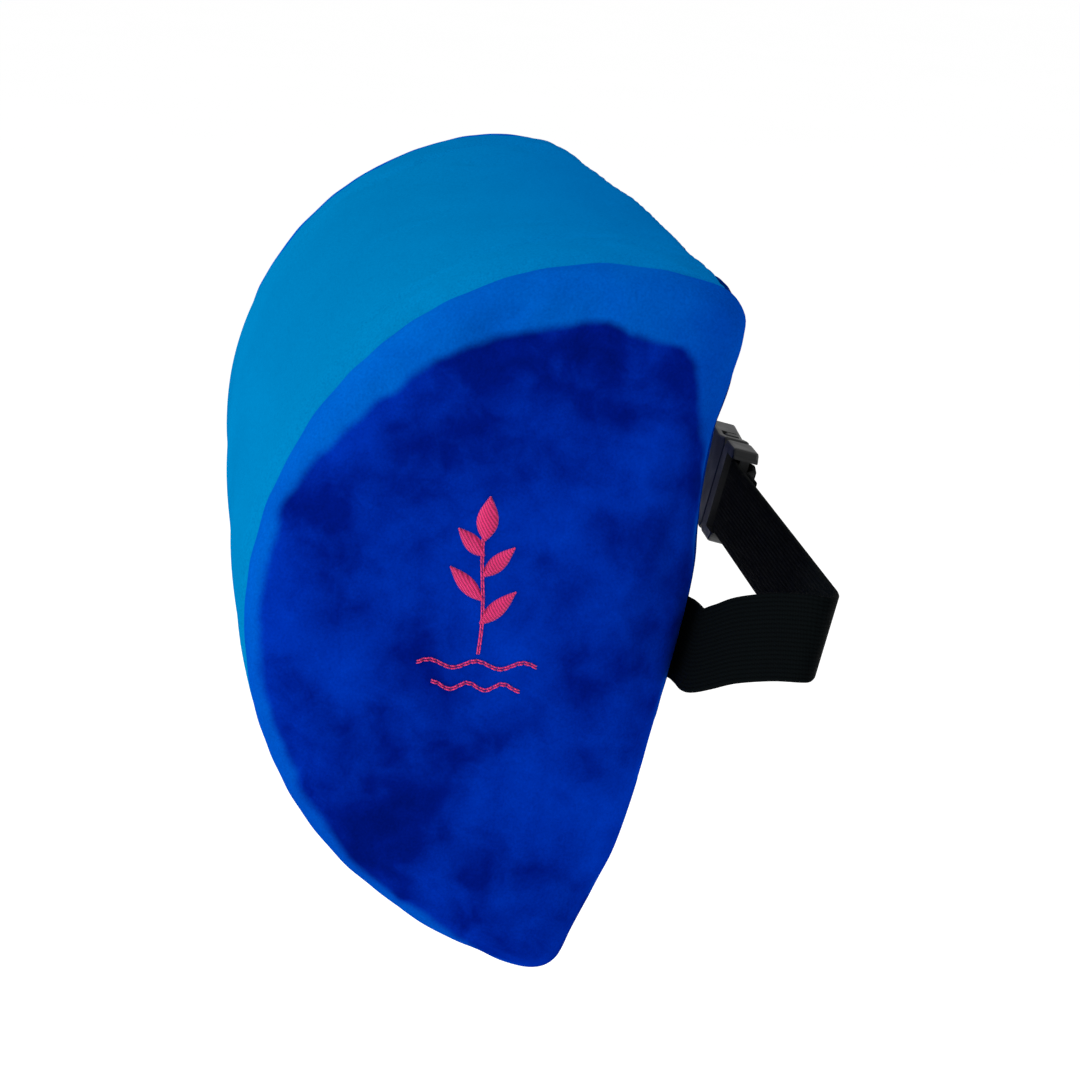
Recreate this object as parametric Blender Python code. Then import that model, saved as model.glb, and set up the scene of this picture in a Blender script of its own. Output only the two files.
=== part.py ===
"""Strap-on lumbar cushion: a half-round foam block in a zipped cover, with a strap for a chair's back.

Frame, in metres: the origin is the middle of the flat back face. +X is across the cushion, to the sitter's
left, +Y points back into the chair, and +Z is up along the back face. The round front faces -Y.
"""

import math

import bmesh
import bpy
from mathutils import Vector

# ---- Cushion section, in the Y-Z plane ----
BACK_FLAT_HALF = 0.047          # half height of the flat zone that rests on the chair
BACK_DROP_RADIUS = 0.135        # the back curves away above and below the flat zone
BACK_DROP_ANGLE = math.radians(22.0)
CORNER_RADIUS = 0.015           # soft corners between the back and the round front
FRONT_DEPTH = 0.107             # depth of the half ellipse in front of the corners
COVER = 0.0025                  # plush and its backing
GAP = 0.0003                    # kept between touching pieces
FOAM_INSET = COVER + 0.0005

# ---- Cushion along X ----
SEAM_X = 0.186                  # seams between the front band and the two end panels
RIM_RADIUS = 0.014              # rounding from the band over to the end panel
END_CROWN = 0.004               # how far the middle of an end panel bulges
CROWN_CENTRE_Y = -0.060
RIM_STEPS = 5
CROWN_SCALES = (0.78, 0.52, 0.26)
SEAM_ANGLE = math.radians(60.0)  # where the band meets the back panels, on the corners
SEAM_GAP_ANGLE = GAP / CORNER_RADIUS

# ---- Zip, in the back face ----
ZIP_Z = -0.036
ZIP_SLOT_HALF = 0.005           # half height of the gap between the two back panels
TAPE_TOP = -COVER - GAP
TAPE_THICK = 0.0006
TAPE_INNER = 0.0008
TAPE_OUTER = 0.0115
COIL_START = -0.147
COIL_END = 0.150
COIL_INNER = 0.0006
COIL_OUTER = 0.0031
COIL_HEIGHT = 0.0018
STOP_HALF = (0.0011, 0.0010, 0.0036)
GROOVE_HALF = 0.0130
GROOVE_FLOOR = -0.0062
SLIDER_X = -0.1405
SLIDER_HALF_LENGTH = 0.0055
SLIDER_HALF_WIDTH = 0.0045
SLIDER_TOP = (-0.0002, 0.0008)
SLIDER_UNDER = (-0.0052, -0.0040)
SLIDER_POST_HALF = 0.0003
BAIL_LEG_X = (0.0028, 0.0040)
BAIL_TOP = (0.0036, 0.0046)
BAIL_HALF_WIDTH = 0.0008
PULL_AXIS_Y = 0.0022
PULL_HALF_THICK = 0.0007
PULL_LENGTH = 0.024
PULL_HALF_WIDTH = 0.0036
PULL_HOLE_HALF = 0.0022
PULL_HOLE_END = 0.0062

# ---- Strap ----
WEB_WIDTH = 0.025
WEB_THICK = 0.0016
LAYER = WEB_THICK + GAP         # spacing of two webbing layers that lie on each other
SEAM_END = SEAM_X + GAP         # each strap half comes out of the seam beside the end panel
REAR_Y = 0.030                  # middle of the webbing behind the chair's back
REAR_Z = 0.021
LOOP_RADIUS = 0.0034            # middle of the webbing round a buckle bar
SIDE_ROUTE = (                  # left half, from the seam round the chair's edge to the rear run
    (SEAM_END, 0.0011, 0.0000),
    (0.194, 0.0011, 0.0002),
    (0.205, 0.0016, 0.0012),
    (0.215, 0.0042, 0.0054),
    (0.225, 0.0085, 0.0110),
    (0.236, 0.0160, 0.0165),
    (0.2432, 0.0228, 0.0196),
    (0.2434, 0.0272, 0.0206),
    (0.2370, 0.0297, 0.0210),
    (0.2240, REAR_Y, REAR_Z),
)
ROUTE_STEPS = 3                 # spline steps between two route points
STITCH_WIDTH = 0.0012
STITCH_THICK = 0.0005
SEAM_TACK_X = SEAM_END + 0.003

# ---- Buckle, centred at X = 0 on the rear run ----
BUCKLE_Y = REAR_Y + LOOP_RADIUS
BUCKLE_HALF_THICK = 0.0045
BUCKLE_HALF_WIDTH = 0.0165
BUCKLE_WAIST = 0.0152
SLOT_HALF_WIDTH = 0.0130
BAR_WIDTH = 0.0032
SOCKET_END = -0.030
SOCKET_WALL_X = -0.018
SOCKET_MOUTH = 0.010
CAVITY_BACK = -0.0155
CAVITY_HALF = (0.0030, 0.0138)
WINDOW = (-0.0120, 0.0000)
PLUG_FACE = 0.0105
PLUG_WALL_X = 0.020
PLUG_END = 0.032
GUIDE_TIP = -0.014
GUIDE_HALF = 0.0022
ARM_AXIS = (0.0095, 0.0100)     # X and Z of the upper arm's bending root
ARM_HALF_THICK = 0.0024

# ---- Tri-glide adjuster, on the doubled end of the right strap half ----
GLIDE_X = -0.085
GLIDE_HALF_LENGTH = 0.011
GLIDE_INNER = REAR_Y - 0.0034
GLIDE_OUTER = REAR_Y + 0.0056
GLIDE_CHANNEL = (REAR_Y - 0.0011, REAR_Y + 0.0030)
GLIDE_BAR_HALF = 0.0025
GLIDE_END_BAR = 0.0035

TAIL_END = -0.160               # fold of the free tail's hem
HEM_LENGTH = 0.011
SEWN_LOOP_END = 0.066           # end of the sewn loop on the plug

# ---- Embroidered motif on the left end panel ----
MOTIF_CENTRE = (-0.063, 0.001)
MOTIF_LEAN = math.radians(12.0)
MOTIF_THICK = 0.0006
LEAF_LENGTH = 0.014
LEAF_WIDTH = 0.0045
STEM_HALF_WIDTH = 0.0006
STEM_HEIGHT = (-0.029, 0.028)
LEAF_PLACES = ((-0.008, 1), (-0.001, -1), (0.006, 1), (0.013, -1))
MOTIF_LINE_HALF = (0.016, 0.012)
MOTIF_LINE_DROP = (-0.021, -0.028)


def clear_scene():
    for obj in list(bpy.data.objects):
        bpy.data.objects.remove(obj, do_unlink=True)


def make_material(name, colour, roughness, metallic=0.0):
    """A Principled BSDF material, with the colour given as linear RGB."""
    mat = bpy.data.materials.new(name)
    mat.use_nodes = True
    shader = mat.node_tree.nodes["Principled BSDF"]
    shader.inputs["Base Color"].default_value = (*colour, 1.0)
    shader.inputs["Roughness"].default_value = roughness
    shader.inputs["Metallic"].default_value = metallic
    return mat


def add_object(name, bm, mat, origin=(0.0, 0.0, 0.0), smooth_angle=None):
    """Turns a bmesh, built in world coordinates, into an object with its origin at the given point."""
    bmesh.ops.recalc_face_normals(bm, faces=bm.faces)
    bmesh.ops.translate(bm, verts=bm.verts, vec=-Vector(origin))
    mesh = bpy.data.meshes.new(name)
    bm.to_mesh(mesh)
    bm.free()
    if smooth_angle is not None:
        mesh.shade_smooth()
        mesh.set_sharp_from_angle(angle=smooth_angle)
    obj = bpy.data.objects.new(name, mesh)
    obj.location = origin
    obj.data.materials.append(mat)
    bpy.context.scene.collection.objects.link(obj)
    return obj


def add_box(bm, low, high):
    """Adds a box between two corners to a bmesh."""
    corners = [(x, y, z) for x in (low[0], high[0]) for y in (low[1], high[1]) for z in (low[2], high[2])]
    v = [bm.verts.new(c) for c in corners]
    for face in ((0, 1, 3, 2), (4, 6, 7, 5), (0, 4, 5, 1), (2, 3, 7, 6), (0, 2, 6, 4), (1, 5, 7, 3)):
        bm.faces.new([v[i] for i in face])


def box_mesh(*boxes):
    bm = bmesh.new()
    for low, high in boxes:
        add_box(bm, low, high)
    return bm


def add_prism(bm, outline, place):
    """Adds a prism. outline is a closed list of 2-D points; place gives each point's two end positions."""
    ends = [place(a, b) for a, b in outline]
    low = [bm.verts.new(e[0]) for e in ends]
    high = [bm.verts.new(e[1]) for e in ends]
    bm.faces.new(low)
    bm.faces.new(list(reversed(high)))
    for i in range(len(outline)):
        j = (i + 1) % len(outline)
        bm.faces.new((low[i], low[j], high[j], high[i]))


def cut(target, name, bm, operation="DIFFERENCE"):
    """Cuts a helper shape out of an object, or joins it on."""
    helper = add_object(name, bm, target.data.materials[0])
    helper.hide_render = True
    helper.display_type = "WIRE"
    modifier = target.modifiers.new(name, "BOOLEAN")
    modifier.operation = operation
    modifier.solver = "EXACT"
    modifier.object = helper


def round_edges(obj, width, segments=2):
    modifier = obj.modifiers.new("round_edges", "BEVEL")
    modifier.width = width
    modifier.segments = segments
    modifier.limit_method = "ANGLE"
    modifier.angle_limit = math.radians(40.0)


# ---------------------------------------------------------------- cushion section

def spread(start, end, steps):
    return [start + (end - start) * i / steps for i in range(steps + 1)]


def drop_end():
    """Y and Z of the point where the back's curve meets the corner."""
    y = -BACK_DROP_RADIUS * (1.0 - math.cos(BACK_DROP_ANGLE))
    z = BACK_FLAT_HALF + BACK_DROP_RADIUS * math.sin(BACK_DROP_ANGLE)
    return y, z


def corner_centre():
    y, z = drop_end()
    return y - CORNER_RADIUS * math.cos(BACK_DROP_ANGLE), z - CORNER_RADIUS * math.sin(BACK_DROP_ANGLE)


def drop_point(angle):
    y = -BACK_DROP_RADIUS * (1.0 - math.cos(angle))
    z = BACK_FLAT_HALF + BACK_DROP_RADIUS * math.sin(angle)
    return (y, z), (math.cos(angle), math.sin(angle))


def corner_point(angle):
    cy, cz = corner_centre()
    normal = (math.cos(angle), math.sin(angle))
    return (cy + CORNER_RADIUS * normal[0], cz + CORNER_RADIUS * normal[1]), normal


def front_point(angle):
    """A point of the front half ellipse: 90 degrees is the top, 180 the very front and 270 the bottom."""
    cy, cz = corner_centre()
    half_height = cz + CORNER_RADIUS
    normal = Vector((math.cos(angle) / FRONT_DEPTH, math.sin(angle) / half_height)).normalized()
    return (cy + FRONT_DEPTH * math.cos(angle), half_height * math.sin(angle)), tuple(normal)


def mirrored(stations):
    """The same stations below the middle, in reverse order."""
    return [((y, -z), (ny, -nz)) for (y, z), (ny, nz) in reversed(stations)]


def upper_back(corner_angle):
    """From the top of the flat zone up to an angle on the upper corner."""
    flat = [((0.0, BACK_FLAT_HALF), (1.0, 0.0))]
    drop = [drop_point(a) for a in spread(0.0, BACK_DROP_ANGLE, 4)[1:]]
    corner = [corner_point(a) for a in spread(BACK_DROP_ANGLE, corner_angle, 3)[1:]]
    return flat + drop + corner


def upper_corner_rest(corner_angle):
    return [corner_point(a) for a in spread(corner_angle, math.radians(90.0), 3)]


def front_arc():
    return [front_point(a) for a in spread(math.radians(90.0), math.radians(270.0), 28)][1:-1]


def whole_section():
    """The closed outline of the cushion, as (point, outward normal) stations."""
    upper = upper_back(SEAM_ANGLE) + upper_corner_rest(SEAM_ANGLE)[1:]
    return upper + front_arc() + mirrored(upper)


def inset(stations, distance):
    return [(y - ny * distance, z - nz * distance) for (y, z), (ny, nz) in stations]


def strip_outline(stations):
    """The closed outline of a cover panel that follows the stations, one cover thick."""
    return inset(stations, 0.0) + list(reversed(inset(stations, COVER)))


# ---------------------------------------------------------------- cushion pieces

def end_rings(base_inset, thick_inset):
    """Rings of an end's outer surface, from the seam inward: a list of (x beyond the seam, inset, scale)."""
    radius = RIM_RADIUS - thick_inset
    rings = []
    for angle in spread(0.0, math.radians(90.0), RIM_STEPS):
        rings.append((radius * math.sin(angle), base_inset + radius * (1.0 - math.cos(angle)), 1.0))
    for scale in CROWN_SCALES:
        rings.append((radius + END_CROWN * (1.0 - scale * scale), base_inset + radius, scale))
    return rings


def ring_points(stations, x, ring_inset, scale):
    centre = Vector((CROWN_CENTRE_Y, 0.0))
    return [(x, *(centre + (Vector(p) - centre) * scale)) for p in inset(stations, ring_inset)]


def bridge(bm, ring_a, ring_b):
    for i in range(len(ring_a)):
        j = (i + 1) % len(ring_a)
        bm.faces.new((ring_a[i], ring_a[j], ring_b[j], ring_b[i]))


def add_rings(bm, rings, tip):
    """Skins a list of rings and closes the last one to a tip point. Returns the first ring's vertices."""
    loops = [[bm.verts.new(p) for p in ring] for ring in rings]
    for a, b in zip(loops, loops[1:]):
        bridge(bm, a, b)
    last = bm.verts.new(tip)
    for i in range(len(loops[-1])):
        bm.faces.new((loops[-1][i], loops[-1][(i + 1) % len(loops[-1])], last))
    return loops[0]


def end_surface(bm, side, base_inset, thick_inset):
    """One end's surface, on the side given by +1 or -1. Returns its ring at the seam plane."""
    stations = whole_section()
    rings = end_rings(base_inset, thick_inset)
    start = SEAM_X + GAP * 0.5
    skins = [ring_points(stations, side * (start + x), ring_inset, scale) for x, ring_inset, scale in rings]
    tip_x = start + RIM_RADIUS - thick_inset + END_CROWN
    return add_rings(bm, skins, (side * tip_x, CROWN_CENTRE_Y, 0.0))


def make_foam(mat):
    bm = bmesh.new()
    left = end_surface(bm, 1.0, FOAM_INSET, FOAM_INSET)
    right = end_surface(bm, -1.0, FOAM_INSET, FOAM_INSET)
    bridge(bm, left, right)
    foam = add_object("foam_core", bm, mat, smooth_angle=math.radians(40.0))
    low = (-SEAM_X, GROOVE_FLOOR, ZIP_Z - GROOVE_HALF)
    high = (SEAM_X, BACK_DROP_RADIUS, ZIP_Z + GROOVE_HALF)
    cut(foam, "cutter_zip_groove", box_mesh((low, high)))


def make_end_panel(name, side, mat):
    bm = bmesh.new()
    outer = end_surface(bm, side, 0.0, 0.0)
    inner = end_surface(bm, side, COVER, COVER)
    bridge(bm, outer, inner)
    add_object(name, bm, mat, smooth_angle=math.radians(40.0))


def make_strip_panel(name, stations, mat):
    half = SEAM_X - GAP * 0.5
    bm = bmesh.new()
    add_prism(bm, strip_outline(stations), lambda y, z: ((-half, y, z), (half, y, z)))
    add_object(name, bm, mat, smooth_angle=math.radians(40.0))


def make_cover(band_mat, end_mat, back_mat):
    corner = upper_corner_rest(SEAM_ANGLE + SEAM_GAP_ANGLE * 0.5)
    make_strip_panel("cover_front_band", corner + front_arc() + mirrored(corner), band_mat)
    upper = upper_back(SEAM_ANGLE - SEAM_GAP_ANGLE * 0.5)
    slot_top = ((0.0, ZIP_Z + ZIP_SLOT_HALF), (1.0, 0.0))
    slot_bottom = ((0.0, ZIP_Z - ZIP_SLOT_HALF), (1.0, 0.0))
    make_strip_panel("cover_back_upper", [slot_top] + upper, back_mat)
    make_strip_panel("cover_back_lower", mirrored(upper) + [slot_bottom], back_mat)
    make_end_panel("cover_end_left", 1.0, end_mat)
    make_end_panel("cover_end_right", -1.0, end_mat)


# ---------------------------------------------------------------- zip

def make_zip(tape_mat, coil_mat, metal):
    half = SEAM_X - GAP
    for name, side in (("upper", 1.0), ("lower", -1.0)):
        edges = sorted((ZIP_Z + side * TAPE_INNER, ZIP_Z + side * TAPE_OUTER))
        low = (-half, TAPE_TOP - TAPE_THICK, edges[0])
        high = (half, TAPE_TOP, edges[1])
        add_object("zip_tape_" + name, box_mesh((low, high)), tape_mat)
        edges = sorted((ZIP_Z + side * COIL_INNER, ZIP_Z + side * COIL_OUTER))
        bottom = TAPE_TOP + GAP
        low = (COIL_START, bottom, edges[0])
        high = (COIL_END, bottom + COIL_HEIGHT, edges[1])
        coil = add_object("zip_coil_" + name, box_mesh((low, high)), coil_mat)
        round_edges(coil, COIL_HEIGHT * 0.3)
    reach = STOP_HALF[0] + 2.0 * GAP
    for name, x in (("closed", COIL_START - reach), ("open", COIL_END + reach)):
        centre = Vector((x, TAPE_TOP + GAP + STOP_HALF[1], ZIP_Z))
        corners = (centre - Vector(STOP_HALF), centre + Vector(STOP_HALF))
        stop = add_object("zip_stop_" + name, box_mesh(corners), metal)
        round_edges(stop, GAP)


def make_zip_slider(metal):
    def span(x, y, half_z):
        return (SLIDER_X + x[0], y[0], ZIP_Z - half_z), (SLIDER_X + x[1], y[1], ZIP_Z + half_z)

    length = (-SLIDER_HALF_LENGTH, SLIDER_HALF_LENGTH)
    overlap = GAP
    top = box_mesh(span(length, SLIDER_TOP, SLIDER_HALF_WIDTH))
    slider = add_object("zip_slider", top, metal, (SLIDER_X, 0.0, ZIP_Z))
    cut(slider, "helper_slider_under", box_mesh(span(length, SLIDER_UNDER, SLIDER_HALF_WIDTH)), "UNION")
    post_x = (-SLIDER_HALF_LENGTH + GAP, -SLIDER_HALF_LENGTH * 0.5)
    post_y = (SLIDER_UNDER[1] - overlap, SLIDER_TOP[0] + overlap)
    cut(slider, "helper_slider_post", box_mesh(span(post_x, post_y, SLIDER_POST_HALF)), "UNION")
    outer = BAIL_LEG_X[1]
    bail = span((-outer, outer), (SLIDER_TOP[1] - overlap, BAIL_TOP[1]), BAIL_HALF_WIDTH)
    cut(slider, "helper_slider_bail", box_mesh(bail), "UNION")
    eye = span((-BAIL_LEG_X[0], BAIL_LEG_X[0]), (SLIDER_TOP[1], BAIL_TOP[0]), SLIDER_HALF_WIDTH)
    cut(slider, "cutter_slider_eye", box_mesh(eye))


def make_zip_pull(metal):
    """A flat tab whose crossbar turns under the slider's bail. It lies over the closed zip."""
    def place(x, z):
        low = (SLIDER_X + x, PULL_AXIS_Y - PULL_HALF_THICK, ZIP_Z + z)
        return low, (low[0], PULL_AXIS_Y + PULL_HALF_THICK, low[2])

    bar = PULL_HALF_THICK
    waist = PULL_HALF_WIDTH * 0.85
    half = [(-bar, waist), (PULL_HOLE_END, PULL_HALF_WIDTH), (PULL_LENGTH * 0.6, waist)]
    nose = [(PULL_LENGTH - PULL_HALF_WIDTH * (1.0 - math.sin(a)), PULL_HALF_WIDTH * math.cos(a))
            for a in spread(0.0, math.radians(90.0), 4)][:-1]
    upper = half + nose + [(PULL_LENGTH, 0.0)]
    outline = upper + [(x, -z) for x, z in reversed(upper[:-1])]
    bm = bmesh.new()
    add_prism(bm, outline, place)
    pull = add_object("zip_pull", bm, metal, (SLIDER_X, PULL_AXIS_Y, ZIP_Z), smooth_angle=math.radians(40.0))
    low = (SLIDER_X + bar, PULL_AXIS_Y - COVER, ZIP_Z - PULL_HOLE_HALF)
    high = (SLIDER_X + PULL_HOLE_END, PULL_AXIS_Y + COVER, ZIP_Z + PULL_HOLE_HALF)
    cut(pull, "cutter_pull_hole", box_mesh((low, high)))


# ---------------------------------------------------------------- strap

def smooth_route(points, steps):
    """Points on a Catmull-Rom curve through the given ones."""
    points = [Vector(p) for p in points]
    padded = [points[0] * 2.0 - points[1]] + points + [points[-1] * 2.0 - points[-2]]
    route = []
    for i in range(len(points) - 1):
        a, b, c, d = padded[i:i + 4]
        for k in range(steps):
            t = k / steps
            linear = (c - a) * t
            square = (a * 2.0 - b * 5.0 + c * 4.0 - d) * t * t
            cube = (b * 3.0 - a - c * 3.0 + d) * t * t * t
            route.append(b + (linear + square + cube) * 0.5)
    return route + [points[-1]]


def turn_back(centre_x, centre_y, radius, toward, steps=8):
    """A half turn of the strap on the rear run, from its inner side round to its outer side."""
    points = []
    for angle in spread(-math.pi / 2.0, math.pi / 2.0, steps):
        x = centre_x + toward * radius * math.cos(angle)
        points.append(Vector((x, centre_y + radius * math.sin(angle), REAR_Z)))
    return points


def ribbon(bm, route):
    """A webbing of constant section along a route, with its width kept as upright as the route allows."""
    rings = []
    for i, point in enumerate(route):
        before = route[max(i - 1, 0)]
        after = route[min(i + 1, len(route) - 1)]
        tangent = (after - before).normalized()
        width = (Vector((0.0, 0.0, 1.0)) - tangent * tangent.z).normalized() * (WEB_WIDTH * 0.5)
        thick = tangent.cross(width).normalized() * (WEB_THICK * 0.5)
        corners = (point - width - thick, point + width - thick, point + width + thick, point - width + thick)
        rings.append([bm.verts.new(c) for c in corners])
    for a, b in zip(rings, rings[1:]):
        bridge(bm, a, b)
    bm.faces.new(rings[0])
    bm.faces.new(rings[-1])


def strap_start(side):
    """Out of the seam, round the chair's edge and onto the rear run."""
    return [Vector((side * p.x, p.y, p.z)) for p in smooth_route(SIDE_ROUTE, ROUTE_STEPS)]


def make_strap_left(mat):
    """The half on the sitter's left ends in a loop sewn round the plug's bar."""
    bar_x = PLUG_END - BAR_WIDTH * 0.5
    route = strap_start(1.0)
    route += [Vector((SEWN_LOOP_END, REAR_Y, REAR_Z))]
    route += turn_back(bar_x, BUCKLE_Y, LOOP_RADIUS, -1.0)
    route += [Vector((bar_x + 0.012, REAR_Y + LOOP_RADIUS + LAYER, REAR_Z))]
    route += [Vector((bar_x + 0.020, REAR_Y + LAYER, REAR_Z))]
    route += [Vector((SEWN_LOOP_END, REAR_Y + LAYER, REAR_Z))]
    bm = bmesh.new()
    ribbon(bm, route)
    add_object("strap_left", bm, mat, smooth_angle=math.radians(40.0))


def make_strap_right(mat):
    """The other half turns round the socket's bar and runs back, doubled, to a hemmed free tail."""
    bar_x = SOCKET_END + BAR_WIDTH * 0.5
    outer_y = REAR_Y + LAYER
    hem_radius = LAYER * 0.5
    route = strap_start(-1.0)
    route += [Vector((bar_x - 0.020, REAR_Y, REAR_Z))]
    route += turn_back(bar_x, BUCKLE_Y, LOOP_RADIUS, 1.0)
    route += [Vector((bar_x - 0.014, REAR_Y + LOOP_RADIUS + LAYER, REAR_Z))]
    route += [Vector((bar_x - 0.025, outer_y, REAR_Z))]
    route += turn_back(TAIL_END, outer_y + hem_radius, hem_radius, -1.0, 4)
    route += [Vector((TAIL_END + HEM_LENGTH, outer_y + LAYER, REAR_Z))]
    bm = bmesh.new()
    ribbon(bm, route)
    add_object("strap_right", bm, mat, smooth_angle=math.radians(40.0))


def make_bar_tack(name, x, y, z, mat):
    """A dense bar of thread across the webbing."""
    half = 0.4 * WEB_WIDTH
    low = (x - STITCH_WIDTH, y, z - half)
    high = (x + STITCH_WIDTH, y + STITCH_THICK, z + half)
    add_object(name, box_mesh((low, high)), mat)


def make_strap(web_mat, thread_mat):
    make_strap_left(web_mat)
    make_strap_right(web_mat)
    on_single = GAP + WEB_THICK + GAP
    make_bar_tack("bar_tack_left", SEAM_TACK_X, on_single, 0.0, thread_mat)
    make_bar_tack("bar_tack_right", -SEAM_TACK_X, on_single, 0.0, thread_mat)
    on_double = REAR_Y + LAYER + WEB_THICK * 0.5 + GAP
    make_bar_tack("bar_tack_plug", SEWN_LOOP_END - 0.006, on_double, REAR_Z, thread_mat)
    make_bar_tack("bar_tack_tail", TAIL_END + HEM_LENGTH * 0.5, on_double + LAYER, REAR_Z, thread_mat)


# ---------------------------------------------------------------- buckle and adjuster

def plan_prism(outline, y_low, y_high):
    """A prism whose outline is given in X and Z about the rear run's middle."""
    bm = bmesh.new()
    add_prism(bm, outline, lambda x, z: ((x, y_low, REAR_Z + z), (x, y_high, REAR_Z + z)))
    return bm


def around(x, y, z_half):
    """Corners of a box centred on the rear run's height."""
    return (x[0], y[0], REAR_Z - z_half), (x[1], y[1], REAR_Z + z_half)


def chamfered(x0, x1, half, corner):
    return [(x0, corner - half), (x0 + corner, -half), (x1 - corner, -half), (x1, corner - half),
            (x1, half - corner), (x1 - corner, half), (x0 + corner, half), (x0, half - corner)]


def relieve_bar(obj, name, slot, whole):
    """Opens the webbing slot beside a buckle's bar, and thins the bar."""
    reach = BUCKLE_HALF_THICK * 2.0
    bar = BAR_WIDTH * 0.5
    through = around(slot, (BUCKLE_Y - reach, BUCKLE_Y + reach), SLOT_HALF_WIDTH)
    cut(obj, "cutter_slot_" + name, box_mesh(through))
    above = around(whole, (BUCKLE_Y + bar, BUCKLE_Y + reach), SLOT_HALF_WIDTH)
    below = around(whole, (BUCKLE_Y - reach, BUCKLE_Y - bar), SLOT_HALF_WIDTH)
    cut(obj, "cutter_bar_" + name, box_mesh(above, below))


def make_socket(mat):
    corner = 0.0025
    waist_x = 0.5 * (WINDOW[0] + WINDOW[1])
    outline = chamfered(SOCKET_END, SOCKET_MOUTH, BUCKLE_HALF_WIDTH, corner)
    outline.insert(6, (waist_x, BUCKLE_WAIST))
    outline.insert(2, (waist_x, -BUCKLE_WAIST))
    bm = plan_prism(outline, BUCKLE_Y - BUCKLE_HALF_THICK, BUCKLE_Y + BUCKLE_HALF_THICK)
    socket = add_object("buckle_socket", bm, mat, (0.0, BUCKLE_Y, REAR_Z), smooth_angle=math.radians(40.0))
    round_edges(socket, 0.0009)
    beyond = 2.0 * CORNER_RADIUS
    half_y, half_z = CAVITY_HALF
    cavity = around((CAVITY_BACK, beyond), (BUCKLE_Y - half_y, BUCKLE_Y + half_y), half_z)
    cut(socket, "cutter_cavity", box_mesh(cavity))
    window = around(WINDOW, (BUCKLE_Y - half_y + GAP, BUCKLE_Y + half_y - GAP), beyond)
    cut(socket, "cutter_window", box_mesh(window))
    slot = (SOCKET_END + BAR_WIDTH, SOCKET_WALL_X)
    whole = (SOCKET_END - BAR_WIDTH, SOCKET_WALL_X)
    relieve_bar(socket, "socket", slot, whole)


def make_plug(mat):
    outline = chamfered(PLUG_FACE, PLUG_END, BUCKLE_HALF_WIDTH, 0.0025)
    bm = plan_prism(outline, BUCKLE_Y - BUCKLE_HALF_THICK, BUCKLE_Y + BUCKLE_HALF_THICK)
    plug = add_object("buckle_plug", bm, mat, (0.0, BUCKLE_Y, REAR_Z), smooth_angle=math.radians(40.0))
    round_edges(plug, 0.0009)
    relieve_bar(plug, "plug", (PLUG_WALL_X, PLUG_END - BAR_WIDTH), (PLUG_WALL_X, PLUG_END + BAR_WIDTH))
    guide_y = (BUCKLE_Y - GUIDE_HALF, BUCKLE_Y + GUIDE_HALF)
    guide = around((GUIDE_TIP, PLUG_FACE + 0.003), guide_y, GUIDE_HALF)
    cut(plug, "helper_guide", box_mesh(guide), "UNION")


def make_arm(name, side, mat):
    """One spring arm of the plug, with a barbed head that stands in the socket's window."""
    outline = [(0.0100, 0.0083), (0.0100, 0.0116), (-0.0002, 0.0118), (-0.0010, 0.0160), (-0.0040, 0.0164),
               (-0.0080, 0.0148), (-0.0115, 0.0123), (-0.0125, 0.0098), (-0.0100, 0.0086)]
    outline = [(x, side * z) for x, z in outline]
    bm = plan_prism(outline, BUCKLE_Y - ARM_HALF_THICK, BUCKLE_Y + ARM_HALF_THICK)
    axis_x, axis_z = ARM_AXIS
    arm = add_object(name, bm, mat, (axis_x, BUCKLE_Y, REAR_Z + side * axis_z))
    round_edges(arm, 0.0004, 1)


def make_adjuster(mat):
    x = (GLIDE_X - GLIDE_HALF_LENGTH, GLIDE_X + GLIDE_HALF_LENGTH)
    outline = chamfered(*x, BUCKLE_HALF_WIDTH, 0.003)
    glide = add_object("strap_adjuster", plan_prism(outline, GLIDE_INNER, GLIDE_OUTER), mat,
                       (GLIDE_X, REAR_Y, REAR_Z), smooth_angle=math.radians(40.0))
    round_edges(glide, 0.0009)
    wide = 2.0 * GLIDE_HALF_LENGTH
    middle = 0.5 * (GLIDE_CHANNEL[0] + GLIDE_CHANNEL[1])
    channel = around((GLIDE_X - wide, GLIDE_X + wide), GLIDE_CHANNEL, SLOT_HALF_WIDTH)
    cut(glide, "cutter_glide_channel", box_mesh(channel))
    over_y = (middle, GLIDE_OUTER + wide)
    over_left = around((GLIDE_X + GLIDE_BAR_HALF, GLIDE_X + wide), over_y, SLOT_HALF_WIDTH)
    over_right = around((GLIDE_X - wide, GLIDE_X - GLIDE_BAR_HALF), over_y, SLOT_HALF_WIDTH)
    cut(glide, "cutter_glide_outer", box_mesh(over_left, over_right))
    reach = GLIDE_HALF_LENGTH - GLIDE_END_BAR
    under = around((GLIDE_X - reach, GLIDE_X + reach), (GLIDE_INNER - wide, middle), SLOT_HALF_WIDTH)
    cut(glide, "cutter_glide_inner", box_mesh(under))


# ---------------------------------------------------------------- motif

def leaf_outline(root, side):
    """A pointed leaf that leaves the stem at 45 degrees, as points (across, up)."""
    slant = math.radians(45.0)
    points = []
    for t, bulge in ((0.0, 0.0), (0.4, 0.5), (0.7, 0.4), (1.0, 0.0), (0.7, -0.4), (0.4, -0.5)):
        along, aside = t * LEAF_LENGTH, bulge * LEAF_WIDTH
        across = along * math.sin(slant) + aside * math.cos(slant)
        up = along * math.cos(slant) - aside * math.sin(slant)
        points.append((side * across, root + up))
    return points


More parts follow.
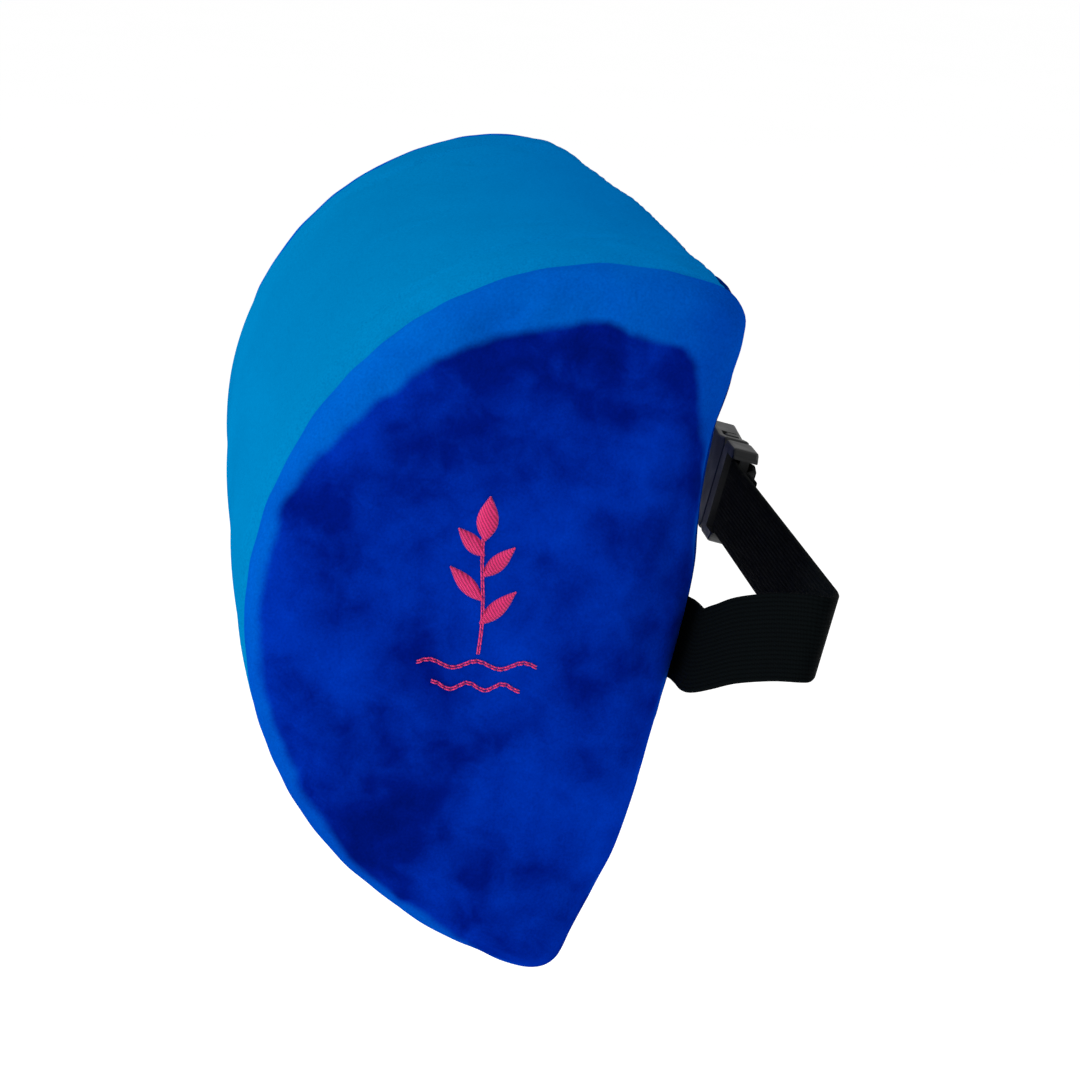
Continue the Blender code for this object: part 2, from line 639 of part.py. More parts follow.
def make_motif(mat):
    """A plain sprig over two short rows of stitching, as raised thread on the left end panel."""
    face_x = SEAM_X + GAP * 0.5 + RIM_RADIUS + END_CROWN + GAP
    sin, cos = math.sin(MOTIF_LEAN), math.cos(MOTIF_LEAN)

    def place(across, up, inset_x=0.0):
        y = MOTIF_CENTRE[0] + across * cos - up * sin
        z = MOTIF_CENTRE[1] + across * sin + up * cos
        return (face_x + inset_x, y, z), (face_x + MOTIF_THICK - inset_x, y, z)

    def place_thinner(across, up):
        return place(across, up, MOTIF_THICK * 0.1)

    w = STEM_HALF_WIDTH
    low, high = STEM_HEIGHT
    bm = bmesh.new()
    add_prism(bm, [(-w, low), (w, low), (w, high), (-w, high)], place)
    motif = add_object("embroidered_motif", bm, mat)
    bm = bmesh.new()
    for root, side in LEAF_PLACES:
        add_prism(bm, leaf_outline(root, side), place_thinner)
    for half, drop in zip(MOTIF_LINE_HALF, MOTIF_LINE_DROP):
        row = [(-half, drop - w), (half, drop - w), (half, drop + w), (-half, drop + w)]
        add_prism(bm, row, place_thinner)
    cut(motif, "helper_motif_leaves", bm, "UNION")


# ---------------------------------------------------------------- assembly

def build():
    clear_scene()
    band = make_material("plush_band", (0.000, 0.195, 0.540), 0.85)
    velour = make_material("velour_end", (0.000, 0.016, 0.260), 0.75)
    back = make_material("knit_back", (0.001, 0.012, 0.150), 0.90)
    foam = make_material("foam", (0.780, 0.740, 0.600), 0.95)
    web = make_material("elastic_webbing", (0.006, 0.007, 0.008), 0.80)
    thread = make_material("black_thread", (0.012, 0.012, 0.014), 0.60)
    pink = make_material("pink_thread", (0.620, 0.030, 0.130), 0.50)
    plastic = make_material("acetal_plastic", (0.010, 0.010, 0.011), 0.45)
    tape = make_material("zip_tape", (0.002, 0.014, 0.150), 0.85)
    coil = make_material("zip_coil", (0.003, 0.018, 0.180), 0.40)
    metal = make_material("zip_metal", (0.550, 0.550, 0.560), 0.30, 1.0)

    make_foam(foam)
    make_cover(band, velour, back)
    make_zip(tape, coil, metal)
    make_zip_slider(metal)
    make_zip_pull(metal)
    make_strap(web, thread)
    make_socket(plastic)
    make_plug(plastic)
    make_arm("buckle_arm_upper", 1.0, plastic)
    make_arm("buckle_arm_lower", -1.0, plastic)
    make_adjuster(plastic)
    make_motif(pink)


build()
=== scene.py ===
"""Looks of the strap-on lumbar support cushion: cover, strap, zip and motif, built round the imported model.

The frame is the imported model's own, in metres: +X to the sitter's left, +Y out of the flat back, +Z up.
"""

import math

import bmesh
import bpy
import numpy as np
from mathutils import Matrix, Vector, noise
from mathutils.bvhtree import BVHTree


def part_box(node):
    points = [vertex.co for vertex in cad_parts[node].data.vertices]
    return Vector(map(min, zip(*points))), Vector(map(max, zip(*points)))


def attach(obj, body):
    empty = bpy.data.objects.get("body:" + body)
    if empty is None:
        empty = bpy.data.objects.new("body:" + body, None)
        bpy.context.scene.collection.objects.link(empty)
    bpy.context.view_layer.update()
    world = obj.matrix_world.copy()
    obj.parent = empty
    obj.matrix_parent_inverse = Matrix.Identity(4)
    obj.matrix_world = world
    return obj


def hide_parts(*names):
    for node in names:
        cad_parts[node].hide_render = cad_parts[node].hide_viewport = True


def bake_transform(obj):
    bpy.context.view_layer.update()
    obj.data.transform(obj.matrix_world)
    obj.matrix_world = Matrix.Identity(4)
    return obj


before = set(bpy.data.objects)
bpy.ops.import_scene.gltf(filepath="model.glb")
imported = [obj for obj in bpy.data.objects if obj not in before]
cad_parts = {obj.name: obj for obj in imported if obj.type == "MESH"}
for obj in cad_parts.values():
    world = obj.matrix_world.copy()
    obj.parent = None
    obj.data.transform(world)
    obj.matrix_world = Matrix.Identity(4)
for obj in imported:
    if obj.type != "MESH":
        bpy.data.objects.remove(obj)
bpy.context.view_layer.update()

# ---- Cushion section and length, as in the solids ----
BACK_FLAT_HALF = 0.047
DROP_RADIUS = 0.135
DROP_ANGLE = math.radians(22.0)
CORNER_RADIUS = 0.015
FRONT_DEPTH = 0.107
SEAM_X = 0.186
RIM_RUN = 0.014                 # how far the rounded rim of an end panel runs out along X
RIM_INSET = 0.007               # and how far it comes in
END_CROWN = 0.004
SEAM_PULL = 0.0016              # how far the stuffed band is drawn in toward each end seam
COVER_INSET = 0.0004            # the cover starts this far inside the plain section, and swells back out
FOAM_INSET = 0.0048
SEAM_ANGLE = math.radians(60.0)
ZIP_Z = -0.036
ZIP_SLOT_HALF = 0.005

# ---- Strap, as in the solids ----
WEB_WIDTH = 0.025
WEB_THICK = 0.0016
LAYER = 0.0019
REAR_Y = 0.030
REAR_Z = 0.021
LOOP_RADIUS = 0.0034
BUCKLE_Y = REAR_Y + LOOP_RADIUS
SIDE_ROUTE = (
    (0.1825, -0.0024, 0.0000),
    (0.1866, 0.0002, 0.0000),
    (0.1925, 0.0010, 0.0002),
    (0.205, 0.0016, 0.0012),
    (0.215, 0.0042, 0.0054),
    (0.225, 0.0085, 0.0110),
    (0.236, 0.0160, 0.0165),
    (0.2432, 0.0228, 0.0196),
    (0.2434, 0.0272, 0.0206),
    (0.2370, 0.0297, 0.0210),
    (0.2240, REAR_Y, REAR_Z),
)
SOCKET_BAR_X = -0.0284
PLUG_BAR_X = 0.0304
TAIL_END = -0.160
HEM_LENGTH = 0.011
SEWN_LOOP_END = 0.066

MOTIF_CENTRE = (-0.063, 0.001)
MOTIF_LEAN = math.radians(12.0)

# ---- Threads, coils and stitches ----
THREAD_SIDES = 5                # corners of a thread's or coil's own cross-section
COIL_PITCH = 0.0012
COIL_STEPS = 8                  # points on one turn of a coil
COIL_WIRE = 0.00029
COIL_OUTER = 0.0031             # a coil's far edge, from the zip's middle line
COIL_INNER = -0.0004            # the two spirals mesh, each reaching a little past the middle
ZIP_STITCHES = 118
ZIP_STITCH_START = -0.1785
ZIP_STITCH_PITCH = 0.00305
ZIP_STITCH_MARGIN = 0.0035      # from a lip of the zip slot to its row of stitches
ZIP_THREAD = 0.00022
TACK_THREAD = 0.00026
TACK_ROWS = 34
MOTIF_THREAD = 0.00024
THREAD_LIFT = 0.0004            # how far an embroidery thread stands above the pile
THREAD_DIP = -0.0001            # and how far its ends dip in

# ---- Cloth of the cover ----
CLOTH_FRAMES = 20
CLOTH_PRESSURE = 4.0
SWELL = 0.0016                  # how far a point of the cover may move
SWELL_LESS_AT_SEAM = 0.6
SWELL_ON_BACK = 0.0007
SLOW_FOLD = 0.0009              # height of the stuffing's slow unevenness
SEAM_FOLD = 0.0006              # height of the puckers at an end seam
SEAM_GROOVE = 0.0005            # how far a panel's border dips into its seam
SEAM_SKIRT = 0.0032             # how far it turns in under it
GROOVE_FLOOR = -0.0068          # where the foam's groove under the zip ends

# ---- Mesh of the cover ----
COLUMNS = 100                   # along X between the end seams
RIM_RINGS = 6
CORNER_SEGS = 3
DROP_SEGS = 13
SIDE_SEGS = 24                  # segments of the top and of the bottom side of an end panel
CORNER_REST_SEGS = 2
FLAT_Z = [-0.047, -0.044, -0.041, -0.0377, -0.0343] + [-0.031 + 0.078 * i / 20 for i in range(21)]
SLOT_LOW = CORNER_SEGS + DROP_SEGS + 2      # section points at the two lips of the zip slot
SLOT_HIGH = SLOT_LOW + 3
BACK_SEGS = 2 * CORNER_SEGS + 2 * DROP_SEGS + len(FLAT_Z) - 1

# ---- Camera and light ----
# Each light: name, place, target, disk size, power.
LIGHTS = (
    ("key", (0.5, -2.4, 1.0), (0.0, -0.05, 0.0), 1.6, 50.0),
    ("fill", (2.2, -0.6, 0.9), (0.0, 0.0, 0.0), 1.8, 14.0),
    ("back", (-1.6, 2.2, 1.5), (0.0, 0.0, 0.0), 1.2, 26.0),
)
WORLD_STRENGTH = 0.55
CAMERA_AT = Vector((1.2532, -0.2023, 0.2053))
LOOK_AT = Vector((0.0627, -0.0306, -0.0037))
CAMERA_UP = Vector((-0.202, -0.2473, 0.9476))
SENSOR_MM = 36.0
LENS_MM = SENSOR_MM * 3740.0 / 1080.0
TRUE_UP = Vector((0.0072, -0.2192, 0.9756))
FLOOR_DROP = 0.75
FLOOR_HALF = 40.0


# ------------------------------------------------------------------ meshes

def new_object(name, verts, faces, materials=(), smooth=True):
    mesh = bpy.data.meshes.new(name)
    mesh.from_pydata([tuple(map(float, v)) for v in verts], [], [tuple(map(int, f)) for f in faces])
    mesh.validate()
    mesh.update()
    if smooth:
        mesh.shade_smooth()
    for mat in materials:
        mesh.materials.append(mat)
    obj = bpy.data.objects.new(name, mesh)
    bpy.context.scene.collection.objects.link(obj)
    return obj


def add_attribute(obj, name, values):
    layer = obj.data.attributes.new(name, "FLOAT", "POINT")
    layer.data.foreach_set("value", np.asarray(values, np.float32))


def subdivide(obj):
    modifier = obj.modifiers.new("subdivision", "SUBSURF")
    modifier.levels = 1
    modifier.render_levels = 1


def bevel(obj, width):
    modifier = obj.modifiers.new("soft_edges", "BEVEL")
    modifier.width = width
    modifier.segments = 2
    modifier.limit_method = "ANGLE"
    modifier.angle_limit = math.radians(35.0)


def tube_faces(base, rings, sides):
    """Faces and end caps of one tube, whose first point has the number base."""
    faces = []
    for i in range(rings - 1):
        for k in range(sides):
            n = (k + 1) % sides
            faces.append((base + i * sides + k, base + i * sides + n,
                          base + (i + 1) * sides + n, base + (i + 1) * sides + k))
    faces.append(tuple(base + k for k in reversed(range(sides))))
    faces.append(tuple(base + (rings - 1) * sides + k for k in range(sides)))
    return faces


def tube_mesh(paths, radius):
    """Vertices and faces of capped tubes along several paths."""
    sides = THREAD_SIDES
    verts, faces = [], []
    for path in paths:
        pts = [Vector(p) for p in path]
        base = len(verts)
        normal = None
        for i, p in enumerate(pts):
            tangent = (pts[min(i + 1, len(pts) - 1)] - pts[max(i - 1, 0)]).normalized()
            if normal is None:
                normal = tangent.orthogonal().normalized()
            normal = (normal - tangent * normal.dot(tangent)).normalized()
            other = tangent.cross(normal)
            for k in range(sides):
                a = 2.0 * math.pi * k / sides
                verts.append(p + (normal * math.cos(a) + other * math.sin(a)) * radius)
        faces += tube_faces(base, len(pts), sides)
    return verts, faces


# ------------------------------------------------------------------ materials

class Nodes:
    """Short ways to add shader nodes to one material."""

    def __init__(self, name, colour, roughness, metallic=0.0):
        self.mat = bpy.data.materials.new(name)
        self.mat.use_nodes = True
        self.tree = self.mat.node_tree
        self.shader = self.tree.nodes["Principled BSDF"]
        self.set("Base Color", (*colour, 1.0))
        self.set("Roughness", roughness)
        self.set("Metallic", metallic)
        self.mat.diffuse_color = (*colour, 1.0)

    def set(self, socket, value):
        self.shader.inputs[socket].default_value = value

    def node(self, kind, **values):
        made = self.tree.nodes.new(kind)
        for key, value in values.items():
            setattr(made, key, value)
        return made

    def link(self, source, target):
        self.tree.links.new(source, target)

    def feed(self, socket, source):
        self.link(source, self.shader.inputs[socket])

    def coords(self):
        return self.node("ShaderNodeTexCoord").outputs["Object"]

    def stretched(self, scale):
        mapping = self.node("ShaderNodeMapping")
        mapping.inputs["Scale"].default_value = scale
        self.link(self.coords(), mapping.inputs["Vector"])
        return mapping.outputs["Vector"]

    def noise(self, scale, detail=2.0, roughness=0.5, distortion=0.0, vector=None, offset=0.0):
        made = self.node("ShaderNodeTexNoise")
        made.noise_dimensions = "4D"
        made.inputs["W"].default_value = offset
        made.inputs["Scale"].default_value = scale
        made.inputs["Detail"].default_value = detail
        made.inputs["Roughness"].default_value = roughness
        made.inputs["Distortion"].default_value = distortion
        self.link(vector if vector is not None else self.coords(), made.inputs["Vector"])
        return made.outputs["Fac"]

    def attribute(self, name):
        made = self.node("ShaderNodeAttribute")
        made.attribute_name = name
        return made.outputs["Fac"]

    def axis(self, index):
        split = self.node("ShaderNodeSeparateXYZ")
        self.link(self.coords(), split.inputs[0])
        return split.outputs[index]

    def math(self, operation, a, b=None, clamp=False):
        made = self.node("ShaderNodeMath", operation=operation, use_clamp=clamp)
        for i, value in enumerate((a, b)):
            if value is None:
                continue
            if isinstance(value, (int, float)):
                made.inputs[i].default_value = value
            else:
                self.link(value, made.inputs[i])
        return made.outputs[0]

    def band(self, value, low, high):
        """0 below low and 1 above high, with a soft step between."""
        made = self.node("ShaderNodeMapRange", interpolation_type="SMOOTHSTEP")
        made.inputs["From Min"].default_value = low
        made.inputs["From Max"].default_value = high
        self.link(value, made.inputs["Value"])
        return made.outputs["Result"]

    def ramp(self, value, stops):
        made = self.node("ShaderNodeValToRGB")
        points = made.color_ramp.elements
        while len(points) < len(stops):
            points.new(0.5)
        for point, (place, colour) in zip(points, stops):
            point.position = place
            point.color = (*colour, 1.0)
        self.link(value, made.inputs["Fac"])
        return made.outputs["Color"]

    def mix(self, share, a, b, blend="MIX"):
        made = self.node("ShaderNodeMix", data_type="RGBA", blend_type=blend)
        for index, value in ((0, share), (6, a), (7, b)):
            if isinstance(value, (int, float)):
                made.inputs[index].default_value = value
            elif isinstance(value, tuple):
                made.inputs[index].default_value = (*value, 1.0)
            else:
                self.link(value, made.inputs[index])
        return made.outputs[2]

    def bump(self, height, distance, strength=1.0, after=None):
        made = self.node("ShaderNodeBump")
        made.inputs["Strength"].default_value = strength
        made.inputs["Distance"].default_value = distance
        self.link(height, made.inputs["Height"])
        if after is not None:
            self.link(after, made.inputs["Normal"])
        return made.outputs["Normal"]


def cloth_sheen(n, weight, tint, roughness=0.5):
    n.set("Specular IOR Level", 0.0)
    n.set("Sheen Weight", weight)
    n.set("Sheen Roughness", roughness)
    n.set("Sheen Tint", (*tint, 1.0))


def plush_material():
    """Short-pile teal-blue plush: fine pile and soft tufts, and a deeper blue toward the back, partly the
    cloth's own tone and partly painted shade where the band turns from the light.
    """
    n = Nodes("teal_plush", (0.0, 0.160, 0.39), 0.95)
    cloth_sheen(n, 0.05, (0.0, 0.45, 1.0))
    pile = n.noise(1500.0, 3.0, 0.65, vector=n.stretched((0.6, 1.0, 1.0)))
    tufts = n.noise(420.0, 2.0, 0.5, offset=3.0)
    lie = n.noise(16.0, 3.0, 0.55, 0.6, vector=n.stretched((0.35, 1.0, 1.0)), offset=7.0)
    # Painted shade: the band's colour is mixed toward a deeper, darker blue toward the back, partly its own
    # tone.
    shade_toward_back = n.band(n.axis(1), -0.125, 0.0)
    front = n.ramp(lie, [(0.30, (0.0, 0.145, 0.356)), (0.70, (0.0, 0.168, 0.400))])
    rear_shaded = n.ramp(lie, [(0.30, (0.0, 0.112, 0.375)), (0.70, (0.0, 0.131, 0.420))])
    base = n.mix(shade_toward_back, front, rear_shaded)
    specks = [(0.30, (0.80, 0.80, 0.84)), (0.52, (1.0, 1.0, 1.0)), (0.72, (1.10, 1.10, 1.07))]
    speck = n.ramp(pile, specks)
    n.feed("Base Color", n.mix(1.0, base, speck, "MULTIPLY"))
    soft = n.bump(tufts, 0.0006, 0.5)
    n.feed("Normal", n.bump(pile, 0.0004, 0.6, after=soft))
    return n.mat


def velour_material():
    """Royal-blue crushed velour: dark and light patches where the pile was crushed one way or the other, and
    a painted sheen on the rounded rim, lighter where it faces up.
    """
    n = Nodes("blue_crushed_velour", (0.0, 0.013, 0.23), 0.9)
    cloth_sheen(n, 0.05, (0.0, 0.12, 1.0))
    broad = n.noise(17.0, 2.0, 0.50, 0.4, offset=2.0)
    patches = n.noise(44.0, 2.0, 0.45, 0.5, offset=9.4)
    small = n.noise(100.0, 3.0, 0.60, 0.5, offset=5.0)
    mixed = n.math("ADD", n.math("MULTIPLY", broad, 0.38), n.math("MULTIPLY", patches, 0.38))
    mixed = n.math("ADD", mixed, n.math("MULTIPLY", small, 0.24))
    height = n.band(n.axis(2), -0.10, 0.09)
    mixed = n.math("ADD", mixed, n.math("MULTIPLY", n.math("SUBTRACT", 0.5, height), 0.06))
    stops = [(0.38, (0.0, 0.0045, 0.120)), (0.44, (0.0, 0.0066, 0.165)), (0.49, (0.0, 0.0125, 0.228)),
             (0.55, (0.0, 0.0185, 0.285)), (0.64, (0.0, 0.0270, 0.360))]
    face = n.ramp(mixed, stops)
    # Painted sheen on the rounded rim: edge is its lit, lighter colour and side its less lit, darker one,
    # mixed by the lit attribute.
    edge = n.ramp(mixed, [(0.38, (0.0, 0.071, 0.385)), (0.62, (0.0, 0.096, 0.440))])
    side = n.ramp(mixed, [(0.38, (0.0, 0.030, 0.310)), (0.62, (0.0, 0.048, 0.370))])
    # The rim attribute marks the strip of painted sheen.
    ragged = n.math("ADD", n.attribute("rim"), n.math("MULTIPLY", n.math("SUBTRACT", patches, 0.5), 0.45))
    on_sheen_rim = n.band(ragged, 0.42, 0.60)
    colour = n.mix(on_sheen_rim, face, n.mix(n.attribute("lit"), side, edge))
    pile = n.noise(1300.0, 2.0, 0.6, offset=1.0)
    speck = n.ramp(pile, [(0.30, (0.84, 0.84, 0.86)), (0.70, (1.10, 1.10, 1.08))])
    n.feed("Base Color", n.mix(1.0, colour, speck, "MULTIPLY"))
    dents = n.bump(mixed, 0.006, 0.3)
    n.feed("Normal", n.bump(pile, 0.0004, 0.5, after=dents))
    return n.mat


def knit_material():
    """Dark blue warp knit: fine upright ribs of small loops."""
    n = Nodes("dark_blue_knit", (0.0, 0.012, 0.15), 0.9)
    cloth_sheen(n, 0.10, (0.0, 0.10, 0.8))
    ribs = n.math("ABSOLUTE", n.math("SINE", n.math("MULTIPLY", n.axis(0), math.pi / 0.0011)))
    rows = n.math("ABSOLUTE", n.math("SINE", n.math("MULTIPLY", n.axis(2), math.pi / 0.0008)))
    loops = n.math("MULTIPLY", ribs, n.math("ADD", n.math("MULTIPLY", rows, 0.5), 0.5))
    wear = n.noise(22.0, 4.0, 0.6, 0.5)
    base = n.ramp(wear, [(0.3, (0.0, 0.0085, 0.110)), (0.7, (0.0, 0.0185, 0.195))])
    shade = n.ramp(loops, [(0.0, (0.40, 0.40, 0.46)), (0.8, (1.25, 1.25, 1.20))])
    n.feed("Base Color", n.mix(1.0, base, shade, "MULTIPLY"))
    n.feed("Normal", n.bump(loops, 0.0004, 0.9, after=n.bump(wear, 0.004, 0.4)))
    return n.mat


def foam_material():
    n = Nodes("open_cell_foam", (0.78, 0.74, 0.60), 0.95)
    cells = n.node("ShaderNodeTexVoronoi")
    cells.inputs["Scale"].default_value = 900.0
    n.link(n.coords(), cells.inputs["Vector"])
    distance = cells.outputs["Distance"]
    n.feed("Base Color", n.ramp(distance, [(0.1, (0.62, 0.57, 0.43)), (0.6, (0.82, 0.78, 0.65))]))
    n.feed("Normal", n.bump(distance, 0.0006, 0.6))
    return n.mat


def webbing_material():
    """Black elastic webbing: lengthwise ribs, a fine weave across them, and smoother selvedges."""
    n = Nodes("black_elastic_webbing", (0.002, 0.003, 0.0035), 0.85)
    n.set("Specular IOR Level", 0.015)
    across, along = n.attribute("across"), n.attribute("along")
    ribs = n.math("ABSOLUTE", n.math("SINE", n.math("MULTIPLY", across, math.pi / 0.00125)))
    picks = n.math("ABSOLUTE", n.math("SINE", n.math("MULTIPLY", along, math.pi / 0.0009)))
    slant = n.math("ADD", n.math("MULTIPLY", across, 2.0), along)
    twist = n.math("ABSOLUTE", n.math("SINE", n.math("MULTIPLY", slant, math.pi / 0.0018)))
    crossing = n.math("MULTIPLY", picks, twist)
    weave = n.math("ADD", n.math("MULTIPLY", ribs, 0.6), n.math("MULTIPLY", crossing, 0.4))
    lint = n.noise(700.0, 2.0, 0.6)
    height = n.math("ADD", weave, n.math("MULTIPLY", lint, 0.25))
    n.feed("Base Color", n.ramp(height, [(0.15, (0.0005, 0.0008, 0.0010)), (1.0, (0.0016, 0.0026, 0.0030))]))
    n.feed("Roughness", n.ramp(lint, [(0.3, (0.70,) * 3), (0.7, (0.88,) * 3)]))
    n.feed("Normal", n.bump(height, 0.0003, 0.6))
    return n.mat


def thread_material(name, dark, light, sheen, period=0.0011):
    """Twisted thread: fine slanted plies."""
    n = Nodes(name, light, 0.45)
    n.set("Specular IOR Level", 0.25)
    n.set("Sheen Weight", sheen)
    wave = n.node("ShaderNodeTexWave")
    wave.bands_direction = "DIAGONAL"
    wave.inputs["Scale"].default_value = 0.314 / period
    wave.inputs["Distortion"].default_value = 1.5
    n.link(n.coords(), wave.inputs["Vector"])
    tone = n.noise(160.0, 2.0, 0.5)
    share = n.math("ADD", n.math("MULTIPLY", wave.outputs["Fac"], 0.6), n.math("MULTIPLY", tone, 0.4))
    n.feed("Base Color", n.ramp(share, [(0.2, dark), (0.8, light)]))
    n.feed("Normal", n.bump(wave.outputs["Fac"], 0.0001, 0.5))
    return n.mat


def tape_material():
    """Woven zip tape: a tight herringbone."""
    n = Nodes("blue_zip_tape", (0.002, 0.014, 0.15), 0.85)
    cloth_sheen(n, 0.05, (0.0, 0.1, 0.8))
    x, z = n.axis(0), n.axis(2)
    fold = n.math("PINGPONG", z, 0.0016)
    slant = n.math("SINE", n.math("MULTIPLY", n.math("ADD", x, fold), 2.0 * math.pi / 0.0009))
    weave = n.math("ADD", n.math("MULTIPLY", slant, 0.5), 0.5)
    n.feed("Base Color", n.ramp(weave, [(0.0, (0.0, 0.006, 0.075)), (1.0, (0.002, 0.018, 0.180))]))
    n.feed("Normal", n.bump(weave, 0.0002, 0.6))
    return n.mat


def coil_material():
    n = Nodes("blue_nylon_coil", (0.003, 0.022, 0.20), 0.38)
    tone = n.noise(300.0, 2.0, 0.5)
    n.feed("Base Color", n.ramp(tone, [(0.3, (0.001, 0.014, 0.150)), (0.7, (0.004, 0.028, 0.240))]))
    n.feed("Roughness", n.ramp(tone, [(0.3, (0.32,) * 3), (0.7, (0.46,) * 3)]))
    return n.mat


def metal_material():
    """Nickel-plated zinc, with fine scuffs."""
    n = Nodes("nickel_plate", (0.48, 0.48, 0.49), 0.28, 1.0)
    scuffs = n.noise(900.0, 4.0, 0.7, 0.3, vector=n.stretched((0.15, 1.0, 1.0)))
    tone = n.noise(120.0, 2.0, 0.5, offset=4.0)
    n.feed("Roughness", n.ramp(scuffs, [(0.3, (0.20,) * 3), (0.7, (0.42,) * 3)]))
    n.feed("Base Color", n.ramp(tone, [(0.3, (0.42, 0.42, 0.43)), (0.7, (0.54, 0.54, 0.55))]))
    n.feed("Normal", n.bump(scuffs, 0.00005, 0.4))
    return n.mat


def plastic_material():
    """Moulded black acetal: a fine eroded grain with slightly shinier rubbed spots."""
    n = Nodes("black_acetal", (0.009, 0.010, 0.011), 0.42)
    n.set("Specular IOR Level", 0.28)
    grain = n.noise(2600.0, 3.0, 0.6)
    rubbed = n.noise(90.0, 3.0, 0.6, 0.4, offset=6.0)
    n.feed("Roughness", n.ramp(rubbed, [(0.3, (0.34,) * 3), (0.7, (0.52,) * 3)]))
    n.feed("Base Color", n.ramp(rubbed, [(0.3, (0.007, 0.008, 0.009)), (0.7, (0.012, 0.013, 0.014))]))
    n.feed("Normal", n.bump(grain, 0.00006, 0.5))
    return n.mat


def floor_material():
    n = Nodes("pale_floor", (0.90, 0.90, 0.90), 0.9)
    n.set("Specular IOR Level", 0.0)
    n.set("Emission Color", (1.0, 1.0, 1.0, 1.0))
    n.set("Emission Strength", 0.50)
    tone = n.noise(2.0, 2.0, 0.5)
    n.feed("Base Color", n.ramp(tone, [(0.3, (0.895, 0.895, 0.895)), (0.7, (0.905, 0.905, 0.905))]))
    return n.mat


# ------------------------------------------------------------------ cushion shape

def drop_end():
    y = -DROP_RADIUS * (1.0 - math.cos(DROP_ANGLE))
    return y, BACK_FLAT_HALF + DROP_RADIUS * math.sin(DROP_ANGLE)


def corner_centre():
    y, z = drop_end()
    return y - CORNER_RADIUS * math.cos(DROP_ANGLE), z - CORNER_RADIUS * math.sin(DROP_ANGLE)


def spread(start, end, steps):
    return [start + (end - start) * i / steps for i in range(steps + 1)]


def section():
    """Points (y, z) and outward normals of the closed section, from the lower back seam up and round."""
    cy, cz = corner_centre()

    def corner(start, end, steps):
        return [(cy + CORNER_RADIUS * math.cos(a), cz + CORNER_RADIUS * math.sin(a), math.cos(a), math.sin(a))
                for a in spread(start, end, steps)[1:]]

    upper = []
    for a in spread(0.0, DROP_ANGLE, DROP_SEGS)[1:]:
        upper.append((-DROP_RADIUS * (1.0 - math.cos(a)), BACK_FLAT_HALF + DROP_RADIUS * math.sin(a),
                      math.cos(a), math.sin(a)))
    upper += corner(DROP_ANGLE, SEAM_ANGLE, CORNER_SEGS)
    lower = [(y, -z, ny, -nz) for y, z, ny, nz in reversed(upper)]
    back = lower + [(0.0, z, 1.0, 0.0) for z in FLAT_Z] + upper
    rest = corner(SEAM_ANGLE, math.radians(90.0), CORNER_REST_SEGS)
    half_height = cz + CORNER_RADIUS
    front_segs = 2 * SIDE_SEGS + BACK_SEGS - 2 * CORNER_REST_SEGS
    front = []
    for a in spread(math.radians(90.0), math.radians(270.0), front_segs)[1:]:
        normal = Vector((math.cos(a) / FRONT_DEPTH, math.sin(a) / half_height)).normalized()
        front.append((cy + FRONT_DEPTH * math.cos(a), half_height * math.sin(a), *normal))
    last = [(y, -z, ny, -nz) for y, z, ny, nz in reversed(rest[:-1])]
    return np.array(back + rest + front + last)


SECTION = section()
AROUND = len(SECTION)
UPPER_SEAM = BACK_SEGS


def relaxed(ring, rounds):
    for _ in range(rounds):
        ring = 0.5 * ring + 0.25 * (np.roll(ring, 1, 0) + np.roll(ring, -1, 0))
    return ring


def smooth_step(value, low, high):
    t = np.clip((value - low) / (high - low), 0.0, 1.0)
    return t * t * (3.0 - 2.0 * t)


def settle(points):
    """Small departures from the plain section: a shallower far end, and a dented near one."""
    out = points.copy()
    y, z = points[:, 1], points[:, 2]
    far = smooth_step(-points[:, 0], -0.02, 0.19)
    out[:, 1] -= far * 0.010 * smooth_step(y, -0.09, -0.005) * smooth_step(np.abs(z), 0.02, 0.10)
    near = smooth_step(points[:, 0], 0.10, 0.19)
    dent = np.exp(-((z - 0.055) / 0.028) ** 2) * smooth_step(y, -0.050, -0.004)
    out[:, 1] -= near * 0.0066 * dent
    tip = np.exp(-(((y + 0.022) / 0.022) ** 2 + ((z + 0.103) / 0.022) ** 2))
    out[:, 1] += near * 0.0045 * tip
    out[:, 2] -= near * 0.0030 * tip
    lobe = np.exp(-(((y + 0.012) / 0.018) ** 2 + ((z - 0.096) / 0.018) ** 2))
    out[:, 1] += near * 0.0045 * lobe
    return out


def depth_at(x, inset):
    """How far each point of the cover's section lies inside the plain one, at a place along X."""
    pulled = SEAM_PULL * float(smooth_step(abs(x), 0.145, SEAM_X)) ** 1.5
    return (inset + pulled * (1.0 - smooth_step(SECTION[:, 0], -0.008, -0.0005)))[:, None]


def cushion_points(inset, run, rim, crown):
    """All points of the closed cushion: columns of the band, then rim rings and face grid of each end."""
    parts = []
    for x in np.linspace(-SEAM_X, SEAM_X, COLUMNS + 1):
        flat = SECTION[:, :2] - SECTION[:, 2:] * depth_at(x, inset)
        parts.append(np.column_stack((np.full(AROUND, x), flat)))
    for side in (-1.0, 1.0):
        for r in range(1, RIM_RINGS + 1):
            a = 0.5 * math.pi * r / RIM_RINGS
            depth = depth_at(SEAM_X, inset) + rim * (1.0 - math.cos(a))
            ring = SECTION[:, :2] - SECTION[:, 2:] * depth
            ring = relaxed(ring, r)
            out_x = side * (SEAM_X - inset + run * math.sin(a))
            parts.append(np.column_stack((np.full(AROUND, out_x), ring)))
        parts.append(face_grid(parts[-1], side, crown))
    return np.concatenate(parts)


